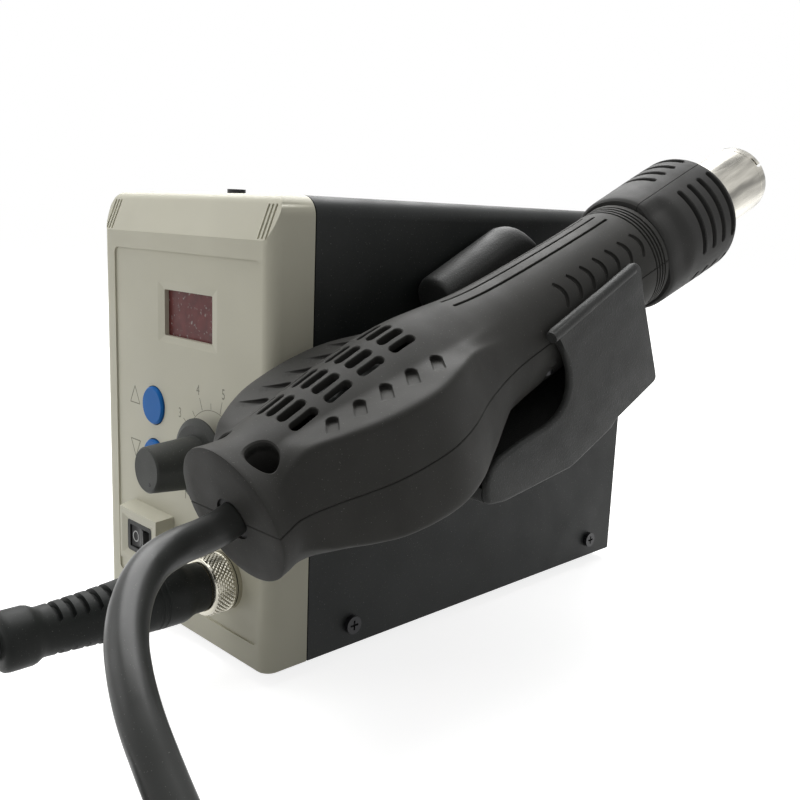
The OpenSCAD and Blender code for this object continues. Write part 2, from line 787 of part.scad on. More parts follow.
module board_standoffs() {
    color("#b8a468") standoff_places() translate([0, 0, z0 + sheet_t]) {
        cylinder(r = 3, h = standoff_h, $fn = 6);
        translate([0, 0, -sheet_t]) cylinder(r = 1.5, h = standoff_h, $fn = 24);
        translate([0, 0, standoff_h - e]) cylinder(r = 1.5, h = board_t + e, $fn = 24);
        translate([0, 0, standoff_h + board_t]) cylinder(r = 2.8, h = 1.8, $fn = 6);
    }
}

module main_board() {
    color("#2f6b3c") difference() {
        translate([-main_w / 2, board_cy - main_d / 2, board_z]) cube([main_w, main_d, board_t]);
        standoff_places() translate([0, 0, board_z - 1])
            cylinder(r = 1.6, h = board_t + 2, $fn = 24);
    }
}

board_top = board_z + board_t;
sink_y = board_cy - main_d / 2 + 22;
sink_x = 22;
sink_t = 3;
sink_fins = 6;

module heat_sink() {
    color("#9a9da1") translate([sink_x, sink_y, board_top]) {
        difference() {
            translate([-16, 0, 0]) cube([32, sink_t, sink_h]);
            translate([0, 0, sink_h - 12]) bar_y(1.6, -1, sink_t + 2, 24);
        }
        for (k = [0:sink_fins - 1]) translate([-16 + k * (32 - 1.6) / (sink_fins - 1), sink_t - e, 0])
            cube([1.6, 12, sink_h]);
    }
}

module triac() {
    color("#18181a") translate([sink_x, sink_y, board_top + sink_h - 22]) {
        difference() {
            translate([-5, -4.4, 0]) cube([10, 4.4, 15]);
            translate([0, 0, 10]) bar_y(1.6, -6, 8, 24);
        }
        for (x = [-2.5, 0, 2.5]) translate([x - 0.4, -2.6, -sink_h + 22])
            cube([0.8, 0.6, sink_h - 22 + e]);
        translate([0, -4.4 - 1, 10]) difference() {
            bar_y(2.7, -0.6, 1.6, 24);
            translate([-2, -1.2, -0.35]) cube([4, 1.2, 0.7]);
        }
        translate([0, 0, 10]) bar_y(1.5, -5, 5 + sink_t + 2, 24);
    }
}

core_x = -14;
core_y = board_cy + main_d / 2 - 30;

module transformer() {
    translate([core_x, core_y, board_top]) {
        color("#6f7276") difference() {
            translate([-core_w / 2, -7, 3]) cube([core_w, 14, core_h]);
            for (x = [-1, 1]) translate([x * core_w / 4 - core_w / 12, -8, 9])
                cube([core_w / 6, 16, core_h - 12]);
        }
        color("#caa24a") difference() {
            translate([-core_w / 4, -12, 0]) cube([core_w / 2, 24, core_h - 1]);
            translate([-core_w / 12, -7, 3 - e]) cube([core_w / 6, 14, core_h]);
            translate([-core_w / 2, -7, 3 - e]) cube([core_w, 14, 6 + e]);
            translate([-core_w / 2, -7, core_h - 3]) cube([core_w, 14, 8]);
        }
    }
}

module capacitor() {
    color("#23355f") for (p = [[24, 18, 8, 24], [24, 36, 6.3, 16], [-28, -24, 5, 12]])
        translate([p[0], p[1], board_top]) {
            cylinder(r = p[2], h = p[3]);
            for (x = [-2.5, 2.5]) translate([x, 0, -board_t - 1])
                cylinder(r = 0.4, h = 1, $fn = 16);
        }
}

module terminal_block() {
    color("#2c7a4e") translate([-14, board_cy - main_d / 2 + 8, board_top]) difference() {
        translate([-12, -4.5, 0]) cube([24, 9, 12]);
        for (x = [-7.6, 0, 7.6]) {
            translate([x, 0, 6]) cylinder(r = 2, h = 8, $fn = 24);
            translate([x - 1.8, -6, 1.5]) cube([3.6, 5, 4]);
        }
    }
}

inlet_depth = 18;
pin_w = 2;
pin_h = 4;

module mains_inlet() {
    inlet_back = back_y - panel_in - rear_t - inlet_depth;
    translate([inlet_x, 0, inlet_z]) {
        color("#141415") difference() {
            union() {
                slab(48, inlet_h + 7, 5, back_y - panel_in, 3);
                slab(inlet_w + 3, inlet_h + 3, 2.8, inlet_back, inlet_depth + rear_t + 0.3);
            }
            slab(inlet_w, inlet_h, 2.4, inlet_back + 2.5, inlet_depth + 10);
            for (x = [-1, 1]) translate([x * inlet_screw_dx, 0, 0])
                bar_y(1.65, back_y - 2, 8, 24);
            for (p = [[-7, -2], [0, 2], [7, -2]])
                translate([p[0] - pin_w / 2, inlet_back - 1, p[1] - pin_h / 2])
                    cube([pin_w, 5, pin_h]);
        }
        color("#c9b27a") for (p = [[-7, -2], [0, 2], [7, -2]])
            translate([p[0] - pin_w / 2, inlet_back - 6, p[1] - pin_h / 2])
                cube([pin_w, inlet_depth + 1, pin_h]);
    }
}

module inlet_screws() {
    color("#2a2a2c") for (x = [-1, 1])
        translate([inlet_x + x * inlet_screw_dx, back_y - panel_in + 3, inlet_z]) {
            rotate([90, 0, 0]) screw(1.5, 8, 2.7);
            translate([0, -3 - rear_t, 0]) difference() {
                bar_y(3, -2.4, 2.4, 6);
                bar_y(1.53, -3, 4, 24);
            }
        }
}

// Cradle on the case's right side. Points are [depth, height above the case's underside].

channel_in = hand_x - channel_r;
channel_out = hand_x + channel_r;
cradle_x0 = case_w / 2;
floor_at = [-56, 62.5];
cradle_low = [[1.8, 73], [-18.2, 63.6], [-48, 58.8], [-54.6, 59]];
cradle_lip = [[-56, 60], [-56.2, 65.2], [-55, 68.6], [-51.7, 71.2], [-41.4, 75], [-31, 77.8]];
cradle_bay = [[-26.2, 80.2], [-23, 83.6], [-21.7, 87.8], [-22.4, 92.4], [-24.6, 96.8],
    [-27.2, 100.4], [-29.2, 103.6]];
cradle_screw_at = [[-6, 108], [4, 92], [-12, 78]];

// Outline of the outer wall, and of the inner wall, which is taller
module wall_outline(tall) {
    polygon(concat(
        tall ? [[9.8, 126.8], [26.4, 88], [25, 85.8]] : [[9.2, 122.6], [25.3, 86.6], [24.6, 85.4]],
        [[3.2, 75]], cradle_low, cradle_lip, cradle_bay,
        tall ? [[-32, 110], [-34.6, 115.6], [-31, 117.4], [-3.1, 131.5], [0.6, 132.2],
                [3.6, 131.8], [6.3, 130.4]]
             : [[-31.2, 103.9], [-32.6, 103.5], [-31.6, 104.8], [7.4, 123.2]]));
}

// A shape drawn in depth and height, made thick along X
module across(x0, t) {
    translate([x0, 0, z0]) rotate([90, 0, 90]) linear_extrude(t) children();
}

module cradle_floor_shape(top) {
    translate(floor_at) rotate(cradle_tilt) translate([-12, -top - cradle_floor])
        square([130, cradle_floor]);
}

pocket_t = 3;

module cradle() {
    color("#202022") difference() {
        union() {
            across(channel_out, cradle_t) wall_outline(false);
            difference() {
                across(cradle_x0, channel_in - cradle_x0) wall_outline(true);
                difference() {
                    across(cradle_x0 - e, channel_in - cradle_x0 - pocket_t) intersection() {
                        translate([1.4, -3.4]) wall_outline(true);
                        translate([-1, 2.4]) wall_outline(true);
                        translate([3, 3]) wall_outline(true);
                        translate([-3, -3]) wall_outline(true);
                    }
                    for (p = cradle_screw_at) translate([cradle_x0 - 1, p[0], z0 + p[1]])
                        rotate([0, 90, 0]) cylinder(r = 5, h = 30, $fn = 32);
                }
            }
            across(channel_in - e, 2 * channel_r + 2 * e) intersection() {
                wall_outline(false);
                union() {
                    cradle_floor_shape(0);
                    translate([-58, 50]) square([4.4, 13.5]);
                }
            }
        }
        for (p = cradle_screw_at) translate([cradle_x0 - 1, p[0], z0 + p[1]]) rotate([0, 90, 0]) {
            cylinder(r = cradle_screw_r + 0.1, h = 40, $fn = 32);
            translate([0, 0, channel_in - cradle_x0 + 1 - 3.4]) cylinder(r = 4, h = 10, $fn = 32);
        }
        translate([channel_in - 2.4, magnet_at[0], z0 + magnet_at[1]]) rotate([0, 90, 0])
            cylinder(r = magnet_r + 0.05, h = 5, $fn = 32);
    }
}

magnet_at = [-16, 100];
magnet_r = 4;

module standby_magnet() {
    color("#9fa3a8") translate([channel_in - 2.4, magnet_at[0], z0 + magnet_at[1]])
        rotate([0, 90, 0]) cylinder(r = magnet_r, h = 2.2, $fn = 32);
}

module cradle_screws() {
    color("#2a2a2c") for (p = cradle_screw_at)
        translate([channel_in - 3.4, p[0], z0 + p[1]]) {
            rotate([0, -90, 0]) screw(cradle_screw_r, channel_in - 3.4 - cradle_x0 + 5, 3.6);
            translate([cradle_x0 - sheet_t - channel_in + 3.4 - 3, 0, 0]) rotate([0, 90, 0])
                difference() {
                    cylinder(r = 4, h = 3, $fn = 6);
                    translate([0, 0, -1])
                        cylinder(r = cradle_screw_r + 0.03, h = 6, $fn = 24);
                }
        }
}

// Handpiece. Along its own axis the handle's front end is at 0 and the nozzle points to +Y.

// Places in the bulb are measured from the handle's rear end, and the neck takes up the rest
bulb_l = 85.5;
neck_l = handle_l - bulb_l;

function rear(d) = d - handle_l;

// Stations of the handle: place on the axis, half width, height above and below the axis
stations = [[rear(0), rear_r, rear_r + 0.7, rear_r - 1], [rear(2.5), 17.6, 18.2, 17.4],
    [rear(7), 16.9, 17.5, 17.7], [rear(15), 20.1, 18.1, 19.4], [rear(22), 24, 18.9, 20.6],
    [rear(28.5), 27, 19.8, 21.6], [rear(36.5), 29, 20.6, 22.6], [rear(46), 29.6, 21.4, 23.4],
    [rear(56), 27.3, 22.1, 23.4], [rear(66), 23.1, 21.8, 22.4], [rear(76), 20.1, 20.5, 20.9],
    [rear(bulb_l), 18.2, 19.1, 19.2], [-0.88 * neck_l, 17.5, 18.3, 18.2],
    [-0.62 * neck_l, 17.3, 17.7, 17.7], [-0.25 * neck_l, 17.5, 17.5, 17.5],
    [0, 17.9, 17.9, 17.9]];

// The bulb's upper side: place, x and height of the crease where the dome on top meets a flat
// shoulder, and of the ridge where the shoulder meets the side
creases = [[rear(7), 8.8, 15.3, 15, 13.4], [rear(14.8), 9.4, 15.5, 18.9, 15.2],
    [rear(20.5), 10.4, 15.5, 22.6, 15.5], [rear(28), 11.6, 15.7, 26.2, 15.6],
    [rear(38), 13.6, 15.9, 28.4, 15.4], [rear(47), 14.6, 15.9, 28.4, 15.3],
    [rear(56), 15.5, 15.9, 26, 15.2], [rear(66), 15.4, 15.3, 21.6, 13.9],
    [rear(76), 14.2, 14.3, 17.9, 11.8], [rear(89), 12.4, 13.2, 14.8, 9.6]];

function seg(tab, s, i = 0) = i >= len(tab) - 2 || s < tab[i + 1][0] ? i : seg(tab, s, i + 1);

// Smooth value of a table's column c at place s: a cubic through its rows
function value(tab, s, c) =
    let (i = seg(tab, s), n = len(tab) - 1, a = tab[i], b = tab[i + 1],
        p = tab[max(i - 1, 0)], q = tab[min(i + 2, n)],
        h = b[0] - a[0], t = min(max((s - a[0]) / h, 0), 1),
        ma = (b[c] - p[c]) / (b[0] - p[0]) * h, mb = (q[c] - a[c]) / (q[0] - a[0]) * h)
    (2 * pow(t, 3) - 3 * pow(t, 2) + 1) * a[c] + (pow(t, 3) - 2 * pow(t, 2) + t) * ma
    + (3 * pow(t, 2) - 2 * pow(t, 3)) * b[c] + (pow(t, 3) - pow(t, 2)) * mb;
function station(s, c) = value(stations, s, c);

function ease(s, a, b) = let (t = min(max((s - a) / (b - a), 0), 1)) t * t * (3 - 2 * t);
// How far the upper side is from round: 1 on the bulb, 0 at the rear end and on the neck
function shaped(s) = ease(s, rear(2), rear(14)) * (1 - ease(s, rear(66), rear(90)));

// Point k of the upper quarter of the section, from the seam up to the crown
function keyed(s, k) = let (w = station(s, 1), h = station(s, 2), xc = value(creases, s, 1),
        zc = value(creases, s, 2), xr = value(creases, s, 3), zr = value(creases, s, 4))
    [[w, 0], [w, 0.42 * zr], [0.3 * w + 0.7 * xr, 0.8 * zr], [xr - 0.4, zr],
        [(xr + xc) / 2, (zr + zc) / 2], [xc, zc], [0.667 * xc, h - 0.444 * (h - zc)],
        [0.333 * xc, h - 0.111 * (h - zc)], [0, h]][k];
function upper(s, k) = let (f = shaped(s), a = 90 * k / quarter)
    f * keyed(s, k) + (1 - f) * [station(s, 1) * cos(a), station(s, 2) * sin(a)];

// Below, the section is a circle on the neck and squarer on the bulb
function power(s) = 2 / (2 + 0.55 * min(max((station(s, 1) - 17.6) / 8, 0), 1));
function spow(v, p) = sign(v) * pow(abs(v), p);
function lower(s, k) = let (p = power(s), a = 90 * k / quarter)
    [station(s, 1) * spow(cos(a), p), station(s, 3) * spow(sin(a), p)];

quarter = 8;
sides = 4 * quarter;
function around(s, k) = k <= quarter ? upper(s, k)
    : k <= 2 * quarter ? let (q = upper(s, 2 * quarter - k)) [-q[0], q[1]] : lower(s, k);
function ring(s, inset) = [for (k = [0:sides - 1])
    let (q = around(s, k), h = station(s, k <= 2 * quarter ? 2 : 3))
    [q[0] * (1 - inset / station(s, 1)), s, q[1] * (1 - inset / h)]];

// A closed body through the rings at the places in list at
module loft(at, inset) {
    n = len(at);
    points = [for (s = at) each ring(s, inset)];
    faces = concat(
        [[for (k = [sides - 1:-1:0]) k]],
        [[for (k = [0:sides - 1]) (n - 1) * sides + k]],
        [for (j = [0:n - 2], k = [0:sides - 1]) let (m = (k + 1) % sides)
            each [[j * sides + k, (j + 1) * sides + m, (j + 1) * sides + k],
                [j * sides + k, j * sides + m, (j + 1) * sides + m]]]);
    polyhedron(points, faces, convexity = 4);
}

places = concat([rear(0), rear(2.5)], [for (k = [1:18]) rear(5 * k)], [for (k = [0:3]) rear(95) * (1 - k / 3)]);
inner_places = concat([rear(shell_t + 0.6)], [for (k = [0:17]) rear(8 + 5 * k)],
    [for (k = [0:2]) rear(98) * (1 - k / 3)], [1]);

module at_hand() {
    translate([hand_x, hand_y, z0 + hand_z]) rotate([hand_tilt, 0, 0]) children();
}

fan_s = rear(29);
rib_t = 2;
neck_in = 15.2;
flange_s = -7;
tube_flange_r = 14.6;
tube_flange_t = 1.2;
// The rear pair goes in from above, the front pair from below
rear_screw_at = [for (x = [-8.7, 8.7]) [x, rear(7)]];
front_screw_at = [for (x = [-12.5, 12.5]) [x, -0.79 * neck_l]];
handle_screw_at = concat(rear_screw_at, front_screw_at);
screw_boss_r = 3;
rear_well_r = 3.8;
front_well_r = 2.6;
// Distance from the seam to the seat of a screw's head, for the rear and the front pair
rear_seat = 4.5;
front_seat = 9;
handle_screw_l = 11.5;

// What fills the handle's hollow again: ribs that seat the fan, the board and the tube's flange
module ribs() {
    for (s = [fan_s + 3, fan_s + fan_l - 5]) difference() {
        translate([-40, s, -40]) cube([80, rib_t, 80]);
        bar_y(fan_r + 0.1, s - 1, rib_t + 2);
    }
    difference() {
        translate([-40, -10, -40]) cube([80, 10, 80]);
        bar_y(tube_r + 0.4, -11, 12);
        bar_y(tube_flange_r + 0.1, flange_s - 0.1, tube_flange_t + 0.2);
    }
    for (d = [2, 22]) translate([-9, board_s + d, -40]) cube([18, rib_t, 40 + board_seat]);
    for (s = [rear(12), rear(18)]) difference() {
        translate([-12, s, -40]) cube([24, rib_t, 40]);
        bar_y(lead_r + 0.1, s - 1, rib_t + 2);
    }
    for (p = handle_screw_at) translate([p[0], p[1], -40]) cylinder(r = screw_boss_r, h = 80, $fn = 24);
    for (p = rear_screw_at) translate([p[0], p[1], rear_seat - 1.5])
        cylinder(r = rear_well_r + 1.2, h = 40, $fn = 32);
}

board_seat = -9;
board_s = fan_s + fan_l + 13;
vent_w = 2.4;
vent_l = 8.4;
vent_s = [for (d = [20.8, 32.3, 43.8, 55.3]) rear(d)];
vent_x = [for (k = [-2:2]) 4.1 * k];

module handle_body() {
    difference() {
        loft(places, 0);
        difference() {
            loft(inner_places, shell_t);
            ribs();
        }
        bar_y(lead_r + 1.25, -handle_l - 1, 6);
    }
    difference() {
        bar_y(neck_in + 0.3, -1, 6.8);
        bar_y(tube_r + 0.4, -2, 10);
    }
}

module handle_upper() {
    color("#262628") at_hand() difference() {
        intersection() {
            handle_body();
            translate([-50, -200, 0]) cube([100, 300, 60]);
        }
        for (s = vent_s, x = vent_x) translate([x, s, 12]) slot_z(vent_w, vent_l, 20, 16);
        for (p = rear_screw_at) translate([p[0], p[1], -1]) {
            cylinder(r = 1.6, h = 40, $fn = 24);
            translate([0, 0, rear_seat + 1]) cylinder(r = rear_well_r, h = 40, $fn = 32);
        }
        for (p = front_screw_at) translate([p[0], p[1], -1])
            cylinder(r = 1.15, h = handle_screw_l - front_seat + 2, $fn = 24);
    }
}

module handle_lower() {
    color("#242426") at_hand() difference() {
        intersection() {
            handle_body();
            translate([-50, -200, -60]) cube([100, 300, 60]);
        }
        for (p = rear_screw_at) translate([p[0], p[1], rear_seat - handle_screw_l - 1])
            cylinder(r = 1.15, h = handle_screw_l, $fn = 24);
        for (p = front_screw_at) translate([p[0], p[1], -41]) {
            cylinder(r = 1.6, h = 42, $fn = 24);
            cylinder(r = front_well_r, h = 41 - front_seat, $fn = 24);
        }
    }
}

module handle_screws() {
    color("silver") at_hand() {
        for (p = rear_screw_at) translate([p[0], p[1], rear_seat])
            rotate([180, 0, 0]) screw(1.1, handle_screw_l, 2.4);
        for (p = front_screw_at) translate([p[0], p[1], -front_seat])
            screw(1.1, handle_screw_l, 2.4);
    }
}

hub_r = 6;
fan_bore = fan_r - 1.4;

module fan_housing() {
    color("#2b2b2e") at_hand() {
        difference() {
            bar_y(fan_r, fan_s, fan_l);
            bar_y(fan_bore, fan_s - 1, fan_l + 2);
        }
        difference() {
            union() {
                for (a = [30:120:359]) rotate([0, a, 0]) translate([-1, fan_s + 17, 0])
                    cube([2, 3, fan_bore + 0.3]);
                bar_y(motor_r + 1.4, fan_s + 17, 3);
            }
            bar_y(motor_r + 0.05, fan_s + 16, 5);
        }
    }
}

motor_r = 6.5;
motor_s = fan_s + 12;

module fan_motor() {
    color("#8c9095") at_hand() difference() {
        bar_y(motor_r, motor_s, 12);
        bar_y(1.05, motor_s - 1, 8, 24);
    }
}

module fan_impeller() {
    color("#3a3a3e") at_hand() {
        bar_y(hub_r, fan_s + 2, 9.5);
        for (k = [0:6]) rotate([0, k * 360 / 7, 0]) intersection() {
            translate([0, fan_s + 6.5, 0]) rotate([0, 0, 38])
                translate([-0.6, -7, hub_r - 1]) cube([1.2, 14, fan_bore - hub_r + 2]);
            difference() {
                bar_y(fan_bore - 0.6, fan_s + 2, 9);
                bar_y(hub_r - 0.5, fan_s + 1, 12);
            }
        }
        bar_y(1, fan_s + 10, 8, 24);
    }
}

module handle_board() {
    color("#2f6b3c") at_hand() {
        translate([-8, board_s, board_seat]) cube([16, 26, board_t]);
        translate([-1.5, board_s + 4, board_seat + board_t]) cube([3, 14, 2.4]);
    }
}

module lead_tail() {
    color("#161617") at_hand() bar_y(lead_r, -handle_l - 0.1, 26);
}

module cable_grommet() {
    color("#141415") at_hand() difference() {
        bar_y(lead_r + 1.2, -handle_l - 0.1, shell_t + 0.9);
        bar_y(lead_r + 0.03, -handle_l - 1, 8);
    }
}

// Heat cover in two halves, slotted on both sides. Angles rise from +X towards +Z.
cover_seam = 65;
slot_w = 2.6;
slot_pitch = 6;
slot_turn = 68;
slot_margin = 12;
cover_slots = [for (k = [0:3]) cover_l - cover_t - 0.1 - slot_w - slot_pitch * k];

// The half that starts at angle a0 and covers half a turn
module cover_half(a0) {
    at_hand() difference() {
        rotate([-90, 0, 0]) rotate([0, 0, -a0 - 180]) rotate_extrude(angle = 180, $fn = 64)
            polygon([[neck_in + 0.6, cover_gap], [cover_r - 1, cover_gap],
                [cover_r, cover_gap + 1], [cover_r + 0.2, 8], [cover_r + 1.5, 11.5],
                [cover_front_r, cover_l - 8], [cover_front_r, cover_l - 1.2],
                [cover_front_r - 1.2, cover_l], [tube_r + 0.3, cover_l],
                [tube_r + 0.3, cover_l - cover_t], [cover_front_r - cover_t, cover_l - cover_t],
                [cover_front_r - cover_t, cover_l - 8], [cover_r - 0.6, 10],
                [cover_r - 0.6, 6.4], [neck_in + 0.6, 6.4]]);
        for (s = cover_slots, a = [a0 + slot_margin, a0 + 180 - slot_margin - slot_turn])
            rotate([-90, 0, 0]) rotate([0, 0, -a - slot_turn])
                rotate_extrude(angle = slot_turn, $fn = 64)
                    translate([tube_r + 3, s]) square([12, slot_w]);
    }
}

module nozzle_cover_left() { color("#1e1e20") cover_half(cover_seam); }

module nozzle_cover_right() { color("#1e1e20") cover_half(cover_seam - 180); }

// Inside the cover the tube is thinner by this much, which marks how far a nozzle slides on
tube_step = 0.2;

module nozzle_tube() {
    color("#c9c9c6") at_hand() difference() {
        union() {
            bar_y(tube_r - tube_step, flange_s + e, tube_end - flange_s - 2);
            bar_y(tube_r, cover_l, tube_end - cover_l - 1);
            bar_y(tube_flange_r, flange_s, tube_flange_t);
        }
        bar_y(tube_r - tube_t, flange_s - 1, tube_end - flange_s + 2);
        rotate([0, 55, 0]) translate([-1, tube_end - 6, 0]) cube([2, 10, 30]);
    }
}

// The ring inside the mouth that a nozzle twists onto
module nozzle_collar() {
    color("#b9b9b6") at_hand() difference() {
        bar_y(tube_r - tube_t - 0.02, tube_end - collar_l, collar_l);
        bar_y(tube_r - tube_t - 0.8, tube_end - collar_l - 1, collar_l + 2);
    }
}

sleeve_r = tube_r - tube_t - 0.1;
sleeve_end = tube_end - collar_l - 2;

module mica_sleeve() {
    color("#c8b48a") at_hand() difference() {
        bar_y(sleeve_r, -5, sleeve_end + 5);
        bar_y(sleeve_r - 0.5, -6, sleeve_end + 7);
    }
}

core_r = 8;
spool_r = sleeve_r - 0.8;
core_end = sleeve_end - 3;

module heater_core() {
    color("#e6e2d6") at_hand() difference() {
        union() {
            bar_y(core_r, 2, core_end - 2);
            for (s = [2, core_end - 3]) bar_y(spool_r, s, 3);
        }
        for (a = [45:90:359]) rotate([0, a, 0]) translate([4.6, 0, 0])
            bar_y(1.8, 1, core_end + 2, 24);
        bar_y(1.1, 1, core_end + 2, 24);
    }
}

module heating_coil() {
    color("#8d8f94") at_hand() for (s = [8:3.4:core_end - 6]) translate([0, s, 0])
        rotate([90, 0, 0]) rotate_extrude($fn = 48) translate([core_r + 0.65, 0]) circle(0.55, $fn = 16);
}

module thermocouple() {
    color("#b9bcc0") at_hand() bar_y(1, -12, core_end + 10, 24);
}

// Lead from the handpiece to the plug. Hand-chosen points, in millimetres above the bench.
coil_at = [128, -215];
coil_r = 47;
coil_low = 0.1;
coil_turns = 2.25;
route_out = [[79.5, -122.1, 67.7], [79.5, -126.4, 66], [79.5, -131.4, 64.9], [80.6, -138, 64.4],
    [83.8, -145.3, 63.6], [88.4, -151.4, 61.8], [93.8, -156.4, 59.2], [99.7, -160.3, 56.2],
    [105.5, -162.9, 53.1], [110.8, -164.6, 50], [115.6, -165.6, 46.8], [120.2, -166.1, 43.4],
    [125, -166.5, 39.8], [130.5, -167, 36], [137.5, -168.6, 32], [146.3, -171.9, 28.6],
    [155.5, -177.4, 26.4], [163.8, -184.9, 25], [170, -194.4, 24.1], [173.9, -204.6, 23.6],
    [175, -215, 23.4]];
route_in = [[128, -262, 4.3], [114, -262, 4.3], [98, -261.5, 4.3], [82, -259, 4.3], [67, -254, 4.3],
    [53, -246, 4.3], [41.5, -235, 4.6], [33, -222, 5.6], [28, -208, 8], [26, -195, 12.6],
    [25.7, -184, 18], [25.7, -173, 23], [25.7, -164, 26], [25.7, -155, 27.2],
    [25.7, -140, 27.2], [25.7, -112, 27.2]];

lead_sides = 10;

function unit(v) = v / norm(v);
function dir_at(p, i) = unit(p[min(i + 1, len(p) - 1)] - p[max(i - 1, 0)]);
function side_of(d) = unit(cross(d, abs(d[2]) > 0.95 ? [1, 0, 0] : [0, 0, 1]));

// A tube of radius r along the points p
module sweep(p, r) {
    n = len(p);
    points = [for (i = [0:n - 1]) let (d = dir_at(p, i), a = side_of(d), b = cross(d, a))
        each [for (k = [0:lead_sides - 1]) let (t = 360 * k / lead_sides)
            p[i] + r * (cos(t) * a + sin(t) * b)]];
    faces = concat(
        [[for (k = [lead_sides - 1:-1:0]) k]],
        [[for (k = [0:lead_sides - 1]) (n - 1) * lead_sides + k]],
        [for (j = [0:n - 2], k = [0:lead_sides - 1]) let (m = (k + 1) % lead_sides)
            each [[j * lead_sides + k, j * lead_sides + m, (j + 1) * lead_sides + m],
                [j * lead_sides + k, (j + 1) * lead_sides + m, (j + 1) * lead_sides + k]]]);
    polyhedron(points, faces, convexity = 6);
}

module lead_out() { color("#1a1a1b") sweep(route_out, lead_r); }

module lead_in() { color("#1a1a1b") sweep(route_in, lead_r); }

coil_h = 2 * lead_r * (coil_turns + 1) - coil_low;

module coil_ring(gap) {
    translate([coil_at[0], coil_at[1], coil_low - gap]) rotate_extrude($fn = 72)
        translate([coil_r - lead_r - gap, 0]) square([2 * (lead_r + gap), coil_h + 2 * gap]);
}

module lead_coil() { color("#1a1a1b") coil_ring(0); }

module coil_tie() {
    t = 0.9;
    color("#2c2c2e") difference() {
        translate([coil_at[0] - coil_r - lead_r - t, coil_at[1] - 4, 0])
            cube([2 * (lead_r + t), 8, coil_low + coil_h + t]);
        coil_ring(0.05);
    }
}

front_bezel();
top_cover();
base_plate();
rear_panel();
cover_screws();
rubber_feet();
foot_screws();
display_window();
display_module();
control_board();
board_screws();
tact_switches();
potentiometer();
pot_nut();
pot_shaft();
airflow_knob();
up_button();
down_button();
switch_body();
switch_rocker();
panel_socket();
socket_nut();
coupling_nut();
plug_shell();
plug_boot();
main_board();
board_standoffs();
heat_sink();
triac();
transformer();
capacitor();
terminal_block();
mains_inlet();
inlet_screws();
cradle();
cradle_screws();
standby_magnet();
handle_upper();
handle_lower();
handle_screws();
fan_housing();
fan_motor();
fan_impeller();
handle_board();
lead_tail();
cable_grommet();
nozzle_cover_left();
nozzle_cover_right();
nozzle_tube();
nozzle_collar();
mica_sleeve();
heater_core();
heating_coil();
thermocouple();
lead_out();
lead_coil();
lead_in();
coil_tie();
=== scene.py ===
"""Looks of the hot air rework station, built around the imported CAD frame.

Metres, in the frame's axes: X to the right seen from the front, Y to the back, Z up, the origin
on the bench under the middle of the case. Sizes below are millimetres, as in the part's source.
"""

import json
import math

import bmesh
import bpy
import numpy as np
from mathutils import Matrix, Vector


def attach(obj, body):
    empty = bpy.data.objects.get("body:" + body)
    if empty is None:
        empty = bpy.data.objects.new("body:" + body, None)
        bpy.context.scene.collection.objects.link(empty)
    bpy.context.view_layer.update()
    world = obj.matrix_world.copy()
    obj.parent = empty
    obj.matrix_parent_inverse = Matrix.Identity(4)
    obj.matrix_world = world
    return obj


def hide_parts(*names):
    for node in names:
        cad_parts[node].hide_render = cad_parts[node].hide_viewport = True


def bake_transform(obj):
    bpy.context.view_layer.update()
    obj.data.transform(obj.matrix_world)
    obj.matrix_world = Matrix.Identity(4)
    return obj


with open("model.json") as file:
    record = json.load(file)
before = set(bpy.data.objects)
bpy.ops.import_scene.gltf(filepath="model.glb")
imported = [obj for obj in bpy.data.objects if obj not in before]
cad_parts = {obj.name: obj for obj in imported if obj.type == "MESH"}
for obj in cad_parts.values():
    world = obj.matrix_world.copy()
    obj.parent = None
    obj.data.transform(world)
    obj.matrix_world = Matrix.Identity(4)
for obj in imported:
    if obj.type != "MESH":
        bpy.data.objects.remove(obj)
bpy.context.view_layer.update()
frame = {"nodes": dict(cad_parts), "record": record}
nodes = frame["nodes"]
MM = 0.001
TAU = 2 * math.pi

# Camera: the photograph's place and angle.
CAMERA_AT = (253.83, -241.53, 137.62)
CAMERA_YAW, CAMERA_PITCH, CAMERA_ROLL = 45.3827, 11.0107, 2.2676
CAMERA_LENS, SENSOR = 42.189, 36.0

# The handpiece's lead, as the part's source places it.
LEAD_R = 4.25
COIL_AT, COIL_R, COIL_TURNS = (128.0, -215.0), 47.0, 2.25
COIL_TOP, COIL_BOTTOM = 23.4, 4.3
ROUTE_OUT = [(79.5, -122.1, 67.7), (79.5, -126.4, 66), (79.5, -131.4, 64.9), (80.6, -138, 64.4),
    (83.8, -145.3, 63.6), (88.4, -151.4, 61.8), (93.8, -156.4, 59.2), (99.7, -160.3, 56.2),
    (105.5, -162.9, 53.1), (110.8, -164.6, 50), (115.6, -165.6, 46.8), (120.2, -166.1, 43.4),
    (125, -166.5, 39.8), (130.5, -167, 36), (137.5, -168.6, 32), (146.3, -171.9, 28.6),
    (155.5, -177.4, 26.4), (163.8, -184.9, 25), (170, -194.4, 24.1), (173.9, -204.6, 23.6),
    (175, -215, COIL_TOP)]
ROUTE_IN = [(128, -262, COIL_BOTTOM), (114, -262, 4.3), (98, -261.5, 4.3), (82, -259, 4.3),
    (67, -254, 4.3), (53, -246, 4.3), (41.5, -235, 4.6), (33, -222, 5.6), (28, -208, 8),
    (26, -195, 12.6), (25.7, -184, 18), (25.7, -173, 23), (25.7, -164, 26), (25.7, -155, 27.2),
    (25.7, -140, 27.2), (25.7, -112, 27.2)]


def add(name, data):
    """A new object with that data, linked to the scene."""
    obj = bpy.data.objects.new(name, data)
    bpy.context.scene.collection.objects.link(obj)
    return obj


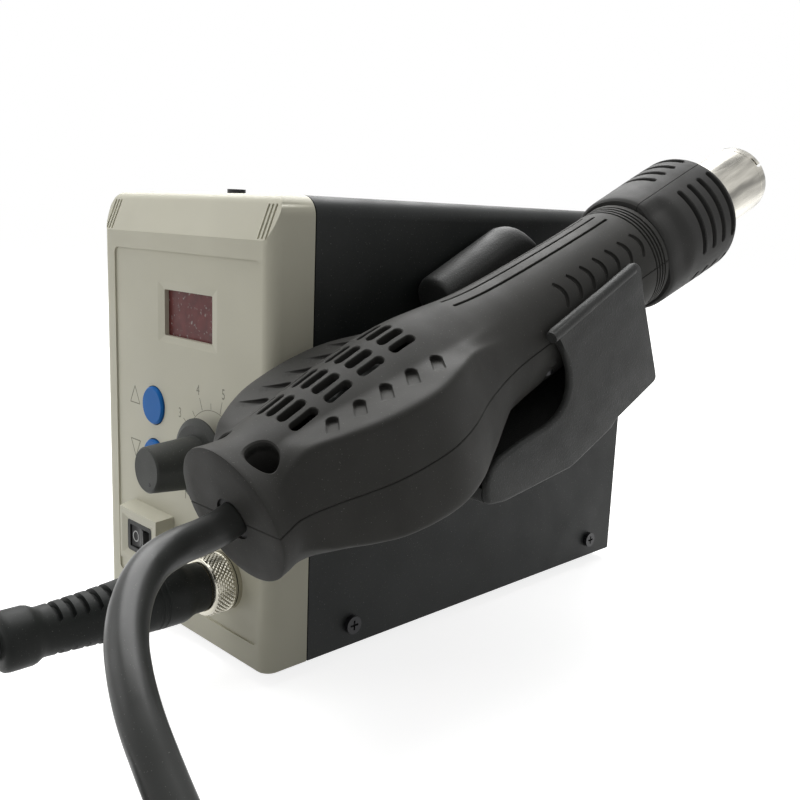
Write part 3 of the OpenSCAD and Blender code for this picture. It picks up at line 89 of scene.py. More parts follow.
def mesh_piece(name, verts, faces, crease=None):
    """A smooth mesh from points in millimetres, sharp where its faces meet above crease degrees."""
    data = bpy.data.meshes.new(name)
    data.from_pydata([tuple(np.asarray(v, float) * MM) for v in verts], [], faces)
    data.validate()
    obj = add(name, data)
    tidy_normals(obj)
    if crease:
        data.set_sharp_from_angle(angle=math.radians(crease))
    return obj


def tidy_normals(obj):
    """Faces turned outward and shaded smooth."""
    made = bmesh.new()
    made.from_mesh(obj.data)
    bmesh.ops.recalc_face_normals(made, faces=made.faces)
    for face in made.faces:
        face.smooth = True
    made.to_mesh(obj.data)
    made.free()


def place_camera():
    """The camera that sees what the photograph shows."""
    yaw, pitch, roll = (math.radians(a) for a in (CAMERA_YAW, CAMERA_PITCH, CAMERA_ROLL))
    look = Vector((-math.sin(yaw) * math.cos(pitch), math.cos(yaw) * math.cos(pitch),
        -math.sin(pitch)))
    level = look.cross(Vector((0, 0, 1))).normalized()
    upright = level.cross(look)
    right = level * math.cos(roll) + upright * math.sin(roll)
    up = upright * math.cos(roll) - level * math.sin(roll)
    camera = add("camera", bpy.data.cameras.new("camera"))
    camera.data.sensor_width = SENSOR
    camera.data.lens = CAMERA_LENS
    turn = Matrix((right, up, -look)).transposed().to_4x4()
    camera.matrix_world = Matrix.Translation(Vector(CAMERA_AT) * MM) @ turn
    bpy.context.scene.camera = camera


place_camera()


# Lead
STEPS_PER_SPAN, STEPS_PER_TURN, TUBE_SIDES = 4, 36, 20


def smooth_line(points):
    """Points on a smooth curve through the given ones."""
    p = [np.array(q, float) for q in points]
    p = [2 * p[0] - p[1]] + p + [2 * p[-1] - p[-2]]
    line = []
    for a, b, c, d in zip(p, p[1:], p[2:], p[3:]):
        for t in np.arange(STEPS_PER_SPAN) / STEPS_PER_SPAN:
            line.append(b + 0.5 * ((c - a) * t + (2 * a - 5 * b + 4 * c - d) * t**2
                + (3 * (b - c) + d - a) * t**3))
    return line + [p[-2]]


def coil_line():
    """The coil's turns, each lying on the one below, without their first and last point."""
    n = round(COIL_TURNS * STEPS_PER_TURN)
    at = np.arange(1, n) / n
    return [np.array([COIL_AT[0] + COIL_R * math.cos(TAU * COIL_TURNS * t),
        COIL_AT[1] - COIL_R * math.sin(TAU * COIL_TURNS * t),
        COIL_TOP + (COIL_BOTTOM - COIL_TOP) * t]) for t in at]


def tube(name, line, r):
    """A round tube of radius r along the line, closed at both ends."""
    way = [b - a for a, b in zip(line, line[1:])]
    way = [way[0]] + [a + b for a, b in zip(way, way[1:])] + [way[-1]]
    side = np.cross(way[0], (1.0, 0, 0))
    verts = []
    for at, d in zip(line, way):
        d = d / np.linalg.norm(d)
        side = side - d * side.dot(d)
        side /= np.linalg.norm(side)
        other = np.cross(d, side)
        verts += [at + r * (math.cos(a) * side + math.sin(a) * other)
            for a in TAU * np.arange(TUBE_SIDES) / TUBE_SIDES]
    return mesh_piece(name, verts, skin(len(line), TUBE_SIDES), crease=60)


def quads(rows, columns, joined_ends=False):
    """Faces between looped rows of points. With joined ends the last row meets the first."""
    return [(j * columns + k, j * columns + (k + 1) % columns,
        (j + 1) % rows * columns + (k + 1) % columns, (j + 1) % rows * columns + k)
        for j in range(rows if joined_ends else rows - 1) for k in range(columns)]


def skin(rows, columns):
    """Faces between looped rows of points, and one over the first row and over the last."""
    return quads(rows, columns) + [list(range(columns)),
        [(rows - 1) * columns + k for k in range(columns)]]


lead_line = smooth_line(ROUTE_OUT) + coil_line() + smooth_line(ROUTE_IN)
lead = tube("handpiece_lead", lead_line, LEAD_R)
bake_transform(lead)
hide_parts("lead_out", "lead_coil", "lead_in")


# Handpiece. Its own axes: x to its right, s towards the nozzle, z up. The handle's front is at
# s = 0.
HAND_AT, HAND_TILT = (79.5, 30.9, 127.7), math.radians(21.4)
HANDLE_L = 164.8
SHELL_T = 2.5
# Place on the axis, half width, height above and below the axis
STATIONS = [(-164.8, 18.4, 19.1, 17.3), (-162, 17.7, 18.3, 17.4), (-157, 16.9, 17.5, 17.7),
    (-149, 20.1, 18.1, 19.4), (-142, 24, 18.9, 20.6), (-135.5, 27, 19.8, 21.6),
    (-127.5, 29, 20.6, 22.6), (-118, 29.6, 21.4, 23.4), (-108, 27.3, 22.1, 23.4),
    (-98, 23.1, 21.8, 22.4), (-88, 20.1, 20.5, 20.9), (-78.5, 18.2, 19.1, 19.2),
    (-69, 17.5, 18.3, 18.2), (-49, 17.3, 17.7, 17.7), (-20, 17.5, 17.5, 17.5),
    (0, 17.9, 17.9, 17.9)]
# Place, then x and z of the crease where the dome on top meets the flat shoulder, of the ridge
# between shoulder and side wall, and of the lower ridge
KEYS = [(-164.8, 8, 16, 14, 11, 14, 10), (-157, 8.8, 15.3, 15, 13.4, 15.4, 10.6),
    (-149.2, 9.4, 15.5, 18.9, 15.2, 19.1, 12), (-143.5, 10.4, 15.5, 22.6, 15.5, 22.7, 13.5),
    (-136, 11.6, 15.7, 26.2, 15.6, 26.1, 15.1), (-126, 13.6, 15.9, 28.4, 15.4, 28.4, 16),
    (-117, 14.6, 15.9, 28.4, 15.3, 28.5, 16.3), (-108, 15.5, 15.9, 26, 15.2, 26.2, 16),
    (-98, 15.4, 15.3, 21.6, 13.9, 21.9, 14.8), (-88, 14.2, 14.3, 17.9, 11.8, 18.6, 13),
    (-75, 12.4, 13.2, 14.8, 9.6, 15, 10), (0, 12.4, 13.2, 14.8, 9.6, 15, 10)]


def at_hand(points):
    """Points on the handpiece's own axes (x, s, z), in the frame's."""
    x, s, z = np.moveaxis(np.asarray(points, float), -1, 0)
    c, k = math.cos(HAND_TILT), math.sin(HAND_TILT)
    return np.stack([HAND_AT[0] + x, HAND_AT[1] + c * s - k * z, HAND_AT[2] + k * s + c * z], -1)


def along(table, s):
    """Smooth values of a table's columns at place s."""
    at = np.array([row[0] for row in table], float)
    rows = np.array([row[1:] for row in table], float)
    i = int(np.clip(np.searchsorted(at, s, side="right") - 1, 0, len(at) - 2))
    h = at[i + 1] - at[i]
    t = (s - at[i]) / h
    lo, hi = max(i - 1, 0), min(i + 2, len(at) - 1)
    ma = (rows[i + 1] - rows[lo]) / (at[i + 1] - at[lo]) * h
    mb = (rows[hi] - rows[i]) / (at[hi] - at[i]) * h
    return ((2 * t**3 - 3 * t**2 + 1) * rows[i] + (t**3 - 2 * t**2 + t) * ma
        + (3 * t**2 - 2 * t**3) * rows[i + 1] + (t**3 - t**2) * mb)


def ease(v, a, b):
    """0 at a and before, 1 at b and after, smooth between."""
    t = np.clip((v - a) / (b - a), 0, 1)
    return t * t * (3 - 2 * t)


def bezier(a, b, c, d, n):
    """n points from a towards d, without d."""
    t = (np.arange(n) / n)[:, None]
    a, b, c, d = (np.array(p, float) for p in (a, b, c, d))
    return (1 - t)**3 * a + 3 * t * (1 - t)**2 * b + 3 * t**2 * (1 - t) * c + t**3 * d


def heading(degrees, length):
    """A step in x and z that falls by that angle."""
    a = math.radians(degrees)
    return np.array([math.cos(a), -math.sin(a)]) * length


# Points on a quarter of the section: top to crease, crease to ridge, ridge to seam
TO_CREASE, TO_RIDGE, TO_SEAM = 24, 12, 16
# Degrees that the line falls before the crease, after it, before the ridge and after it
FALLS_UPPER, FALLS_LOWER = (34, 8, 9, 84), (22, 22, 40, 84)
# Where the keyed section fades in at the rear, and where it has faded out in front
KEYED_REAR, KEYED_FRONT = (-162, -150), (-74, -98)


def quarter(s, upper):
    """The right quarter of the section at s, from the middle line to the seam."""
    w, top, low = along(STATIONS, s)
    h = top if upper else low
    xc, zc, xr, zr, xl, zl = along(KEYS, s)
    t = np.concatenate([np.linspace(0, 0.5, TO_CREASE, False),
        np.linspace(0.5, 0.7, TO_RIDGE, False), np.linspace(0.7, 1, TO_SEAM + 1)]) * math.pi / 2
    round_one = np.stack([w * np.sin(t), h * np.cos(t)], -1)
    mid, seam = np.array([0, h]), np.array([w, 0])
    if upper:
        crease, ridge = np.array([xc, zc]), np.array([xr, zr])
    else:
        ridge = np.array([xl, zl])
        crease = mid + (ridge - mid) * 0.62 + [0, 0.12 * (h - zl)]
    falls = FALLS_UPPER if upper else FALLS_LOWER
    spans = (mid, crease), (crease, ridge), (ridge, seam)
    a, b, c = (np.linalg.norm(q - p) / 3 for p, q in spans)
    keyed = np.concatenate([
        bezier(mid, mid + [a, 0], crease - heading(falls[0], a), crease, TO_CREASE),
        bezier(crease, crease + heading(falls[1], b), ridge - heading(falls[2], b), ridge,
            TO_RIDGE),
        bezier(ridge, ridge + heading(falls[3], c), seam + [0, c], seam, TO_SEAM), [seam]])
    share = ease(s, *KEYED_REAR) * ease(s, *KEYED_FRONT)
    line = keyed * share + round_one * (1 - share)
    line[:, 1] *= 1 if upper else -1
    return line


def section(s, upper, inset=0.0):
    """Half of the section at s, from the right seam over the middle line to the left one."""
    right = quarter(s, upper)[::-1]
    half = np.concatenate([right, (right[:-1] * [-1, 1])[::-1]])
    # Corners are rounded by a short running mean; the seams stay where they are
    padded = np.concatenate([(half[1:4] * [1, -1])[::-1], half, (half[-4:-1] * [1, -1])[::-1]])
    weights = np.array([0, 1, 3, 4, 3, 1, 0]) / 12
    half = sum(w * padded[k:k + len(half)] for k, w in enumerate(weights))
    return half * (1 - inset / np.linalg.norm(half, axis=1))[:, None]


# Steps over which the slope of the handle's top is taken
STEP_X, STEP_S = 0.3, 0.5


def surface_point(x, s):
    """A point of the handle's top at x and s, and the direction out of it."""
    line = section(s, True)
    ahead = section(s + STEP_S, True)
    z = lambda rows, at: np.interp(-at, -rows[:, 0], rows[:, 1])
    across = (z(line, x + STEP_X) - z(line, x - STEP_X)) / (2 * STEP_X)
    lengthways = (z(ahead, x) - z(line, x)) / STEP_S
    out = np.array([-across, -lengthways, 1.0])
    return np.array([x, s, z(line, x)]), out / np.linalg.norm(out)


# How far above the surface a cutter's bevelled lip starts, and where its back lies
CUT_EDGE, CUT_BACK = 0.05, 1.6


def cutter(path, half_width, depth, lip=0.25, ramp=0.0, round_ends=(True, True)):
    """A closed body that cuts a groove, slot or pocket along a path of (point, outward) pairs on a
    surface. half_width and depth are values per point. With a ramp the floor rises towards one
    side until only 1 - ramp of the depth is left there."""
    at = np.array([p for p, n in path])
    up = np.array([n for p, n in path])
    way = np.gradient(at, axis=0)
    way /= np.linalg.norm(way, axis=1)[:, None]
    side = np.cross(way, up)
    side /= np.linalg.norm(side, axis=1)[:, None]
    run = np.concatenate([[0], np.cumsum(np.linalg.norm(np.diff(at, axis=0), axis=1))])
    verts = []
    for k in range(len(at)):
        h, d = half_width[k], depth[k]
        shift = 0
        for end, here, sign in zip(round_ends, (run[k], run[-1] - run[k]), (-1, 1)):
            if end and here < half_width[k]:
                h = min(h, math.sqrt(max(half_width[k]**2 - (half_width[k] - here)**2, 0)) + 0.02)
                shift = sign * (lip + CUT_EDGE) * (half_width[k] - here) / half_width[k]
        low = d * (1 - ramp)
        r = min(0.3 * h, 0.3)
        edge = h + lip + CUT_EDGE
        shape = [(-edge, CUT_EDGE), (-h, -lip), (-h, -max(low - r, lip)), (-h + r, -max(low, lip)),
            (h - r, -max(d, lip)), (h, -max(d - r, lip)), (h, -lip), (edge, CUT_EDGE),
            (edge, CUT_BACK), (-edge, CUT_BACK)]
        # Where the cut is shallower than its lip, all but the back is raised
        if d < lip:
            shape = [(b, n + (lip + 0.1) * (1 - d / lip) if n < CUT_BACK else n) for b, n in shape]
        verts += [at[k] + side[k] * b + up[k] * n + way[k] * (shift if n > 0 else 0)
            for b, n in shape]
    faces = skin(len(at), len(shape))
    faces[-2] = faces[-2][::-1]
    return verts, faces


def fine(length, half_width, rounded=(True, True), steps=8):
    """Places along a path, close together in its rounded ends."""
    t = 1 - np.cos(np.linspace(0, math.pi / 2, 6))
    first = list(half_width * t) if rounded[0] else [0.0]
    last = list(length - half_width * t[::-1]) if rounded[1] else [length]
    mid = list(np.linspace(first[-1], last[0], steps + 2)[1:-1])
    return np.array(first + mid + last)


VENT_ROWS, VENT_S, VENT_PITCH, VENT_L, VENT_W = 4, -143.2, 11.5, 8.4, 2.7
VENT_X = (-8.2, -4.1, 0, 4.1, 8.2)
# Dents beside the vents: deep end of the rearmost (x, s), step to the next, run to the shallow end
DENTS, DENT_AT, DENT_STEP, DENT_RUN = 5, (12.2, -138.4), (0.75, 8.3), (6.6, -5.4)
LONG_X, LONG_S, LONG_L = (-5, -0.4, 4.2), -84.5, 73.5
FINGER_ROWS, FINGER_S, FINGER_PITCH, FINGER_STEPS = 7, -52, 6.65, 15


def handle_cutters():
    """Vents, dents, long grooves and finger grooves of the upper shell."""
    made = []
    for k in range(VENT_ROWS):
        s = VENT_S + VENT_PITCH * k - VENT_L / 2 + fine(VENT_L, VENT_W / 2)
        for x in VENT_X:
            path = [surface_point(x, q) for q in s]
            made.append(cutter(path, [VENT_W / 2] * len(s), [5.0] * len(s)))
    for k in range(DENTS):
        xa, sa = (at + step * k for at, step in zip(DENT_AT, DENT_STEP))
        xb, sb = xa + DENT_RUN[0], sa + DENT_RUN[1]
        for side in (1, -1):
            t = fine(1.0, 0.17, (True, False), 9)
            path = [surface_point(side * (xa + (xb - xa) * q), sa + (sb - sa) * q) for q in t]
            made.append(cutter(path, [1.55] * len(t), list(1.35 * (1 - t)**0.8 + 0.02), lip=0.12,
                round_ends=(True, False)))
    for x in LONG_X:
        s = LONG_S + fine(LONG_L, 0.45, steps=60)
        path = [surface_point(x, q) for q in s]
        made.append(cutter(path, [0.45] * len(s), [0.8] * len(s), lip=0.15))
    for k in range(FINGER_ROWS):
        for side in (1, -1):
            path = []
            for t in np.linspace(0, 1, FINGER_STEPS):
                a = math.radians(46 - 27 * t)
                s = FINGER_S + FINGER_PITCH * k + 1.7 * math.sin(math.pi * t)
                w, top, low = along(STATIONS, s)
                path.append((np.array([side * w * math.cos(a), s, top * math.sin(a)]),
                    np.array([side * math.cos(a), 0, math.sin(a)])))
            # Narrower and shallower towards both ends
            bow = np.sin(math.pi * np.linspace(0.04, 0.96, FINGER_STEPS))**0.3
            if side > 0:
                path, bow = path[::-1], bow[::-1]
            made.append(cutter(path, list(0.2 + 0.72 * bow), list(0.3 + 0.7 * bow), lip=0.1,
                ramp=0.7, round_ends=(False, False)))
    return made


WELL_SIDES = 40


def column(x, s, upper, profile):
    """A closed round body straight up from the seam plane at x and s. profile is (radius, height,
    on the surface or not): a height on the surface is added to the surface's own there."""
    verts = []
    for radius, height, on_surface in profile:
        for a in TAU * np.arange(WELL_SIDES) / WELL_SIDES:
            px, ps = x + radius * math.cos(a), s + radius * math.sin(a)
            line = section(max(ps, -HANDLE_L), upper)
            z = np.interp(-px, -line[:, 0], abs(line[:, 1])) if on_surface else 0
            verts.append((px, ps, (z + height) * (1 if upper else -1)))
    return verts, skin(len(profile), WELL_SIDES)


def screw_well(x, s, upper, r, seat):
    """What cuts a screw's well, and the boss that lines it inside the shell."""
    cut = column(x, s, upper, [(r - 0.3, seat, False), (r, seat + 0.3, False), (r, -0.35, True),
        (r + 0.45, 0.1, True), (r + 0.45, 6, True)])
    profile = [(1.2, seat - 1.5, False), (r + 1.2, seat - 1.5, False), (r + 1.2, -1.2, True),
        (r, -1.2, True), (r, seat + 0.3, False), (r - 0.3, seat, False), (1.2, seat, False)]
    verts, faces = column(x, s, upper, profile)
    return cut, (verts, quads(len(profile), WELL_SIDES, joined_ends=True))


def joined(parts):
    """Several bodies' points and faces as one list of each."""
    verts, faces = [], []
    for v, f in parts:
        faces += [[k + len(verts) for k in face] for face in f]
        verts += list(v)
    return verts, faces


def boolean(obj, parts, operation="DIFFERENCE"):
    """obj with the parts cut out of it or added to it."""
    verts, faces = joined(parts)
    tool = mesh_piece(obj.name + "_tool", verts, faces)
    mod = obj.modifiers.new("cut", "BOOLEAN")
    mod.operation, mod.object, mod.solver = operation, tool, "EXACT"
    graph = bpy.context.evaluated_depsgraph_get()
    made = bpy.data.meshes.new_from_object(obj.evaluated_get(graph))
    obj.modifiers.clear()
    old = obj.data
    obj.data = made
    bpy.data.meshes.remove(old)
    bpy.data.objects.remove(tool, do_unlink=True)


# The groove where the halves meet: half its width, and its depth
SEAM_W, SEAM_IN = 0.3, 0.28
RING_GROOVES = (-7, -5.5, -4, -2.5)
SPIGOT_R, BORE_R, BORE_AT_LEAD = 15.5, 13.15, 5.5


def shell_half(name, upper):
    """Half of the handle's shell: outside, rear disc, spigot and inside in one closed mesh."""
    rows = []
    sign = 1 if upper else -1

    def row(s, inset, radius=None, face=0.0):
        """Adds the section at s, or a half circle of that radius, its ends moved by face."""
        half = section(min(max(s, -HANDLE_L), 0), upper, inset)
        if radius:
            half = half * (radius / np.linalg.norm(half, axis=1))[:, None]
        points = np.insert(half, 1, s, axis=1)
        for end in (0, -1):
            edge = points[end].copy()
            edge[2] = sign * SEAM_W
            points[end] = edge
            edge[2] = sign * 0.05
            if inset < 2 and not face:
                edge[0] *= 1 - SEAM_IN / abs(edge[0])
            edge[1] += face
            points = np.insert(points, 0 if end == 0 else len(points), edge, axis=0)
        rows.append(points)

    # Outside, from the hole in the rear disc to the front with its ring grooves
    for r in (BORE_AT_LEAD, 8, 11.5, 14.5):
        row(-HANDLE_L, 0, r, face=SEAM_IN)
    row(-HANDLE_L, 0.7, face=SEAM_IN)
    row(-HANDLE_L + 0.2, 0.2)
    row(-HANDLE_L + 0.7, 0)
    for s in np.arange(-HANDLE_L + 1.6, -7.9, 0.95):
        row(s, 0)
    for s in RING_GROOVES:
        for ds, inset in ((-0.42, 0), (-0.3, 0.5), (0.3, 0.5), (0.42, 0)):
            row(s + ds, inset)
    row(-0.5, 0)
    row(0, 0.5)
    # The spigot that the heat cover sits on, then the inside back to the rear disc
    row(0, 0, SPIGOT_R, face=-SEAM_IN)
    row(5.4, 0, SPIGOT_R)
    row(5.8, 0, 15.1)
    row(5.8, 0, BORE_R, face=-SEAM_IN)
    row(-9, 0, BORE_R)
    row(-10, 0, 15)
    for s in np.linspace(-12, -HANDLE_L + 3.5, 40):
        row(s, SHELL_T)
    row(-HANDLE_L + SHELL_T, SHELL_T)
    row(-HANDLE_L + SHELL_T, 0, BORE_AT_LEAD)
    count, columns = len(rows), len(rows[0])
    rows.append(rows[0])
    verts = [p for r in rows[:-1] for p in at_hand(r)]
    faces = []
    for j in range(count):
        i, n = j * columns, ((j + 1) % count) * columns
        faces += [(i + k, i + k + 1, n + k + 1, n + k) for k in range(columns - 1)]
    # One flat face along each seam
    faces += [[j * columns + k for j in range(count)] for k in (0, columns - 1)]
    return mesh_piece(name, verts, faces)


def add_mesh(obj, parts):
    """obj with the parts' points and faces beside its own."""
    verts, faces = joined(parts)
    made = bmesh.new()
    made.from_mesh(obj.data)
    points = [made.verts.new(tuple(np.asarray(v, float) * MM)) for v in verts]
    for face in faces:
        made.faces.new([points[k] for k in face])
    made.to_mesh(obj.data)
    made.free()
    tidy_normals(obj)


def placed(parts):
    """The parts with their points moved from the handpiece's axes to the frame's."""
    return [(at_hand(v), f) for v, f in parts]


# Screw wells: x and s of the right one, radius, height of the seat above the seam plane
REAR_WELL = (8.7, -157, 3.8, 4.5)
FRONT_WELL = (12.5, -62, 2.6, 9.0)
upper = shell_half("handle_shell_upper", True)
lower = shell_half("handle_shell_lower", False)
for piece, (x, s, r, seat), cuts in ((upper, REAR_WELL, handle_cutters()),
        (lower, FRONT_WELL, [])):
    wells = [screw_well(side * x, s, piece is upper, r, seat) for side in (1, -1)]
    boolean(piece, placed(cuts + [cut for cut, boss in wells]))
    add_mesh(piece, placed([boss for cut, boss in wells]))
    piece.data.set_sharp_from_angle(angle=math.radians(32))
    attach(piece, "handpiece")
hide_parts("handle_upper")
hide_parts("handle_lower")


# Heat cover and nozzle


def around(r, s, degrees):
    """A point of the handpiece's axes on a circle of radius r at s, and the way outward there."""
    a = math.radians(degrees)
    return np.array([r * math.cos(a), s, r * math.sin(a)]), np.array([math.cos(a), 0, math.sin(a)])


def cover_radius(s, degrees):
    """The cover's outside. On the right it is drawn in at its rear, beside the cradle."""
    full = along([(0.8, 19.3), (2, 19.7), (10, 20), (24, 20.5), (36, 20.8), (40, 20.8)], s)[0]
    drawn = ease(degrees, 63, 47) * ease(degrees, -30, -5)
    return full - 1.6 * drawn * (1 - ease(s, 7.5, 12.5))


COVER_SLOTS, SLOT_HALF = (18.5, 24.6, 30.7, 36.8), 1.15
# Places along the cover's outside and how far its edge is taken in there
COVER_OUT = [(0.8, 0.5), (1.3, 0.1)]
COVER_OUT += [(s, 0) for s in (2, 4, 6, 7.5, 8.5, 9.5, 10.5, 11.5, 12.5, 14, 18, 24, 30, 35, 38.6)]
COVER_OUT += [(39.4, 0.3), (39.9, 0.9), (40, 1.5)]


def cover_half(name, start, slots):
    """Half of the slotted cover, from the angle start over half a turn. slots are the angles that
    each slot starts and ends at."""
    rows = []
    for a in start + np.linspace(0.3, 179.7, 91):
        out = [(cover_radius(s, a) - inset, s) for s, inset in COVER_OUT]
        # The mouth around the tube, the inside, and the seat on the handle's spigot
        back = [(13.05, 40), (13.05, 38)] + [(cover_radius(s, a) - 2, s) for s in (38, 30, 20, 13)]
        back += [(16.4, 9.5), (16.4, 6.4), (15.8, 6.4), (15.8, 0.8)]
        rows.append([around(r, s, a)[0] for r, s in out + back])
    verts = at_hand([p for row in rows for p in row])
    obj = mesh_piece(name, verts, skin(len(rows), len(rows[0])))
    cuts = []
    for first, last in slots:
        for s in COVER_SLOTS:
            r = cover_radius(s, (first + last) / 2)
            run = fine(math.radians(last - first) * r, SLOT_HALF, steps=14)
            path = [around(cover_radius(s, a), s, a) for a in first + np.degrees(run / r)]
            cuts.append(cutter(path, [SLOT_HALF] * len(path), [4.5] * len(path), lip=0.2))
    boolean(obj, placed(cuts))
    obj.data.set_sharp_from_angle(angle=math.radians(35))
    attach(obj, "handpiece")
    return obj


cover_right = cover_half("heat_cover_right", -115, [(-15, 53), (-103, -35)])
cover_left = cover_half("heat_cover_left", 65, [(77, 145), (165, 233)])
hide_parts("nozzle_cover_right")
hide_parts("nozzle_cover_left")


def turned(profile, steps=96, height=None):
    """A ring: a closed outline of (radius, place on the axis) turned about the axis. height(a, y)
    is added to the radius of points whose third value is 1."""
    verts = []
    for a in TAU * np.arange(steps) / steps:
        for point in profile:
            r, y = point[:2]
            if len(point) > 2 and height:
                r += height(a, y)
            verts.append((r * math.cos(a), y, r * math.sin(a)))
    return verts, quads(steps, len(profile), joined_ends=True)


TUBE_R, TUBE_IN, MOUTH = 12.75, 11.95, 78.6


def nozzle():
    """The stainless tube: a rolled mouth, a ring line behind it and the L-shaped cut."""
    outside = [(TUBE_R, s) for s in (40.5, 50, 60, 70, 74.2)]
    outside += [(TUBE_R - 0.16, 74.35), (TUBE_R - 0.16, 74.6), (TUBE_R, 74.75), (TUBE_R, 77.6),
        (TUBE_R - 0.12, 78.2), (TUBE_R - 0.4, MOUTH)]
    inside = [(TUBE_IN + 0.2, MOUTH), (TUBE_IN - 0.75, MOUTH - 0.5), (TUBE_IN - 0.75, 71.8),
        (TUBE_IN, 71.6), (TUBE_IN, -7), (14.6, -7), (14.6, -5.8), (12.55, -5.8), (12.55, 40.3)]
    verts, faces = turned(outside + inside)
    obj = mesh_piece("nozzle_steel", at_hand(verts), faces)
    # The cut's run around the tube, and its way out through the mouth
    run = [around(TUBE_R, 75.9, a) for a in np.linspace(47, 29, 12)]
    way_out = [around(TUBE_R, s, 29.5) for s in np.linspace(75.5, 81, 8)]
    for path in (run, way_out):
        # One by one, because they overlap
        boolean(obj, placed([cutter(path, [0.42] * len(path), [3.0] * len(path), lip=0.08)]))
    obj.data.set_sharp_from_angle(angle=math.radians(30))
    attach(obj, "handpiece")
    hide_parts("nozzle_tube", "nozzle_collar")
    return obj


tube_piece = nozzle()


# Cradle on the case's side. Outlines are (depth, height above the case's underside).
CASE_Z, SIDE_X, WALL_X, CHANNEL_X, PLATE_T = 4.0, 47.5, 61.25, 97.75, 2.6
TILT = math.radians(25.9)
SLOPE, UP = np.array([[math.cos(TILT), math.sin(TILT)], [-math.sin(TILT), math.cos(TILT)]])
LOW = [(1.8, 73), (-18.2, 63.6), (-48, 58.8), (-54.6, 59), (-56, 60), (-56.2, 65.2), (-55, 68.6),
    (-51.7, 71.2), (-41.4, 75), (-31, 77.8), (-26.2, 80.2), (-23, 83.6), (-21.7, 87.8),
    (-22.4, 92.4), (-24.6, 96.8), (-27.2, 100.4), (-29.2, 103.6)]
TALL_WALL = [(9.8, 126.8), (26.4, 88), (25, 85.8), (3.2, 75)] + LOW + [(-32, 110), (-34.6, 115.6),
    (-31, 117.4), (-3.1, 131.5), (0.6, 132.2), (3.6, 131.8), (6.3, 130.4)]
OUTER_WALL = [(9.2, 122.6), (25.3, 86.6), (24.6, 85.4), (3.2, 75)] + LOW + [(-31.2, 103.9),
    (-32.6, 103.5), (-31.6, 104.8), (7.4, 123.2)]
# The thick rim along the outer plate's top
LIP_X, LIP_R = 99.25, 1.75
LIP = [(-31.2, 102.6), (-20, 108.1), (-5, 115.5), (6.6, 121.2)]
CRADLE_SCREWS = [(-6, 108), (4, 92), (-12, 78)]
MAGNET_AT = (-16, 100)
HOLE_R, HEAD_R, HEAD_DEEP, MAGNET_R, MAGNET_DEEP = 2.1, 4, 3.4, 4.05, 2.4
OUTLINE_STEP, ROD_SIDES = 0.9, 32


def rounded_outline(points, passes):
    """Points spaced evenly on a closed outline, its corners eased, and the ways outward."""
    p = np.array(points, float)
    p = np.concatenate([p, p[:1]])
    run = np.concatenate([[0], np.cumsum(np.linalg.norm(np.diff(p, axis=0), axis=1))])
    at = np.linspace(0, run[-1], int(run[-1] / OUTLINE_STEP), endpoint=False)
    q = np.stack([np.interp(at, run, p[:, k]) for k in (0, 1)], -1)
    for _ in range(passes):
        q = (np.roll(q, 1, 0) + 2 * q + np.roll(q, -1, 0)) / 4
    way = np.roll(q, -1, 0) - np.roll(q, 1, 0)
    way /= np.linalg.norm(way, axis=1)[:, None]
    area = np.sum(q[:, 0] * np.roll(q[:, 1], -1) - np.roll(q[:, 0], -1) * q[:, 1])
    return q, np.stack([way[:, 1], -way[:, 0]], -1) * np.sign(area)


def wall(outline, x0, x1, r, crest=0.0, passes=1):
    """An upright wall from x0 to x1 with rounded rims. With a crest its sloped top is a half
    round of that radius."""
    q, out = rounded_outline(outline, passes)
    high = q @ UP
    share = ease(high, high.max() - 13, high.max() - 1.5)
    width = x1 - x0
    t = np.linspace(0, math.pi / 2, 6)
    u = sorted(set(np.round(np.concatenate([r * (1 - np.cos(t)), crest * (1 - np.cos(t))]), 4)))
    u = [v for v in u if v < width / 2 - 0.05]
    verts, rows = [], u + [width - v for v in u[::-1]]
    for v in rows:
        d, top = (c - math.sqrt(max(c * c - (c - min(v, width - v, c))**2, 0)) for c in (r, crest))
        line = q - out * d * (1 - share[:, None]) - UP * max(top, d) * share[:, None]
        verts += [(x0 + v, y, z + CASE_Z) for y, z in line]
    return verts, skin(len(rows), len(q))


def rod(x0, x1, y, z, r):
    """A round rod along X."""
    verts = [(x, y + r * math.cos(a), z + r * math.sin(a)) for x in (x0, x1)
        for a in TAU * np.arange(ROD_SIDES) / ROD_SIDES]
    return verts, skin(2, ROD_SIDES)


def block(corners_low, corners_high):
    """A six-sided body between two four-cornered ends."""
    return list(corners_low) + list(corners_high), [(0, 1, 2, 3), (4, 5, 6, 7), (0, 1, 5, 4),
        (1, 2, 6, 5), (2, 3, 7, 6), (3, 0, 4, 7)]


def body_of(obj):
    """A helper object's points and faces; the object goes."""
    verts = [tuple(np.array(v.co) / MM) for v in obj.data.vertices]
    faces = [tuple(f.vertices) for f in obj.data.polygons]
    bpy.data.objects.remove(obj, do_unlink=True)
    return verts, faces


def cradle_floor():
    """The sloped floor between the walls with the stop at its front."""
    start = np.array([-56, 62.5]) - 12 * SLOPE
    ends = [start, start + 130 * SLOPE, start + 130 * SLOPE - 3 * UP, start - 3 * UP]
    x0, x1 = WALL_X - 0.5, CHANNEL_X + 0.5
    sheet = block(*([(x, y, z + CASE_Z) for y, z in ends] for x in (x0, x1)))
    stop = [(-58, 50), (-53.6, 50), (-53.6, 63.5), (-58, 63.5)]
    front = block(*([(x, y, z + CASE_Z) for y, z in stop] for x in (x0, x1)))
    obj = mesh_piece("floor_tool", *sheet)
    boolean(obj, [front], "UNION")
    boolean(obj, [wall(OUTER_WALL, WALL_X - 1, CHANNEL_X + 1, 0.01)], "INTERSECT")
    return body_of(obj)


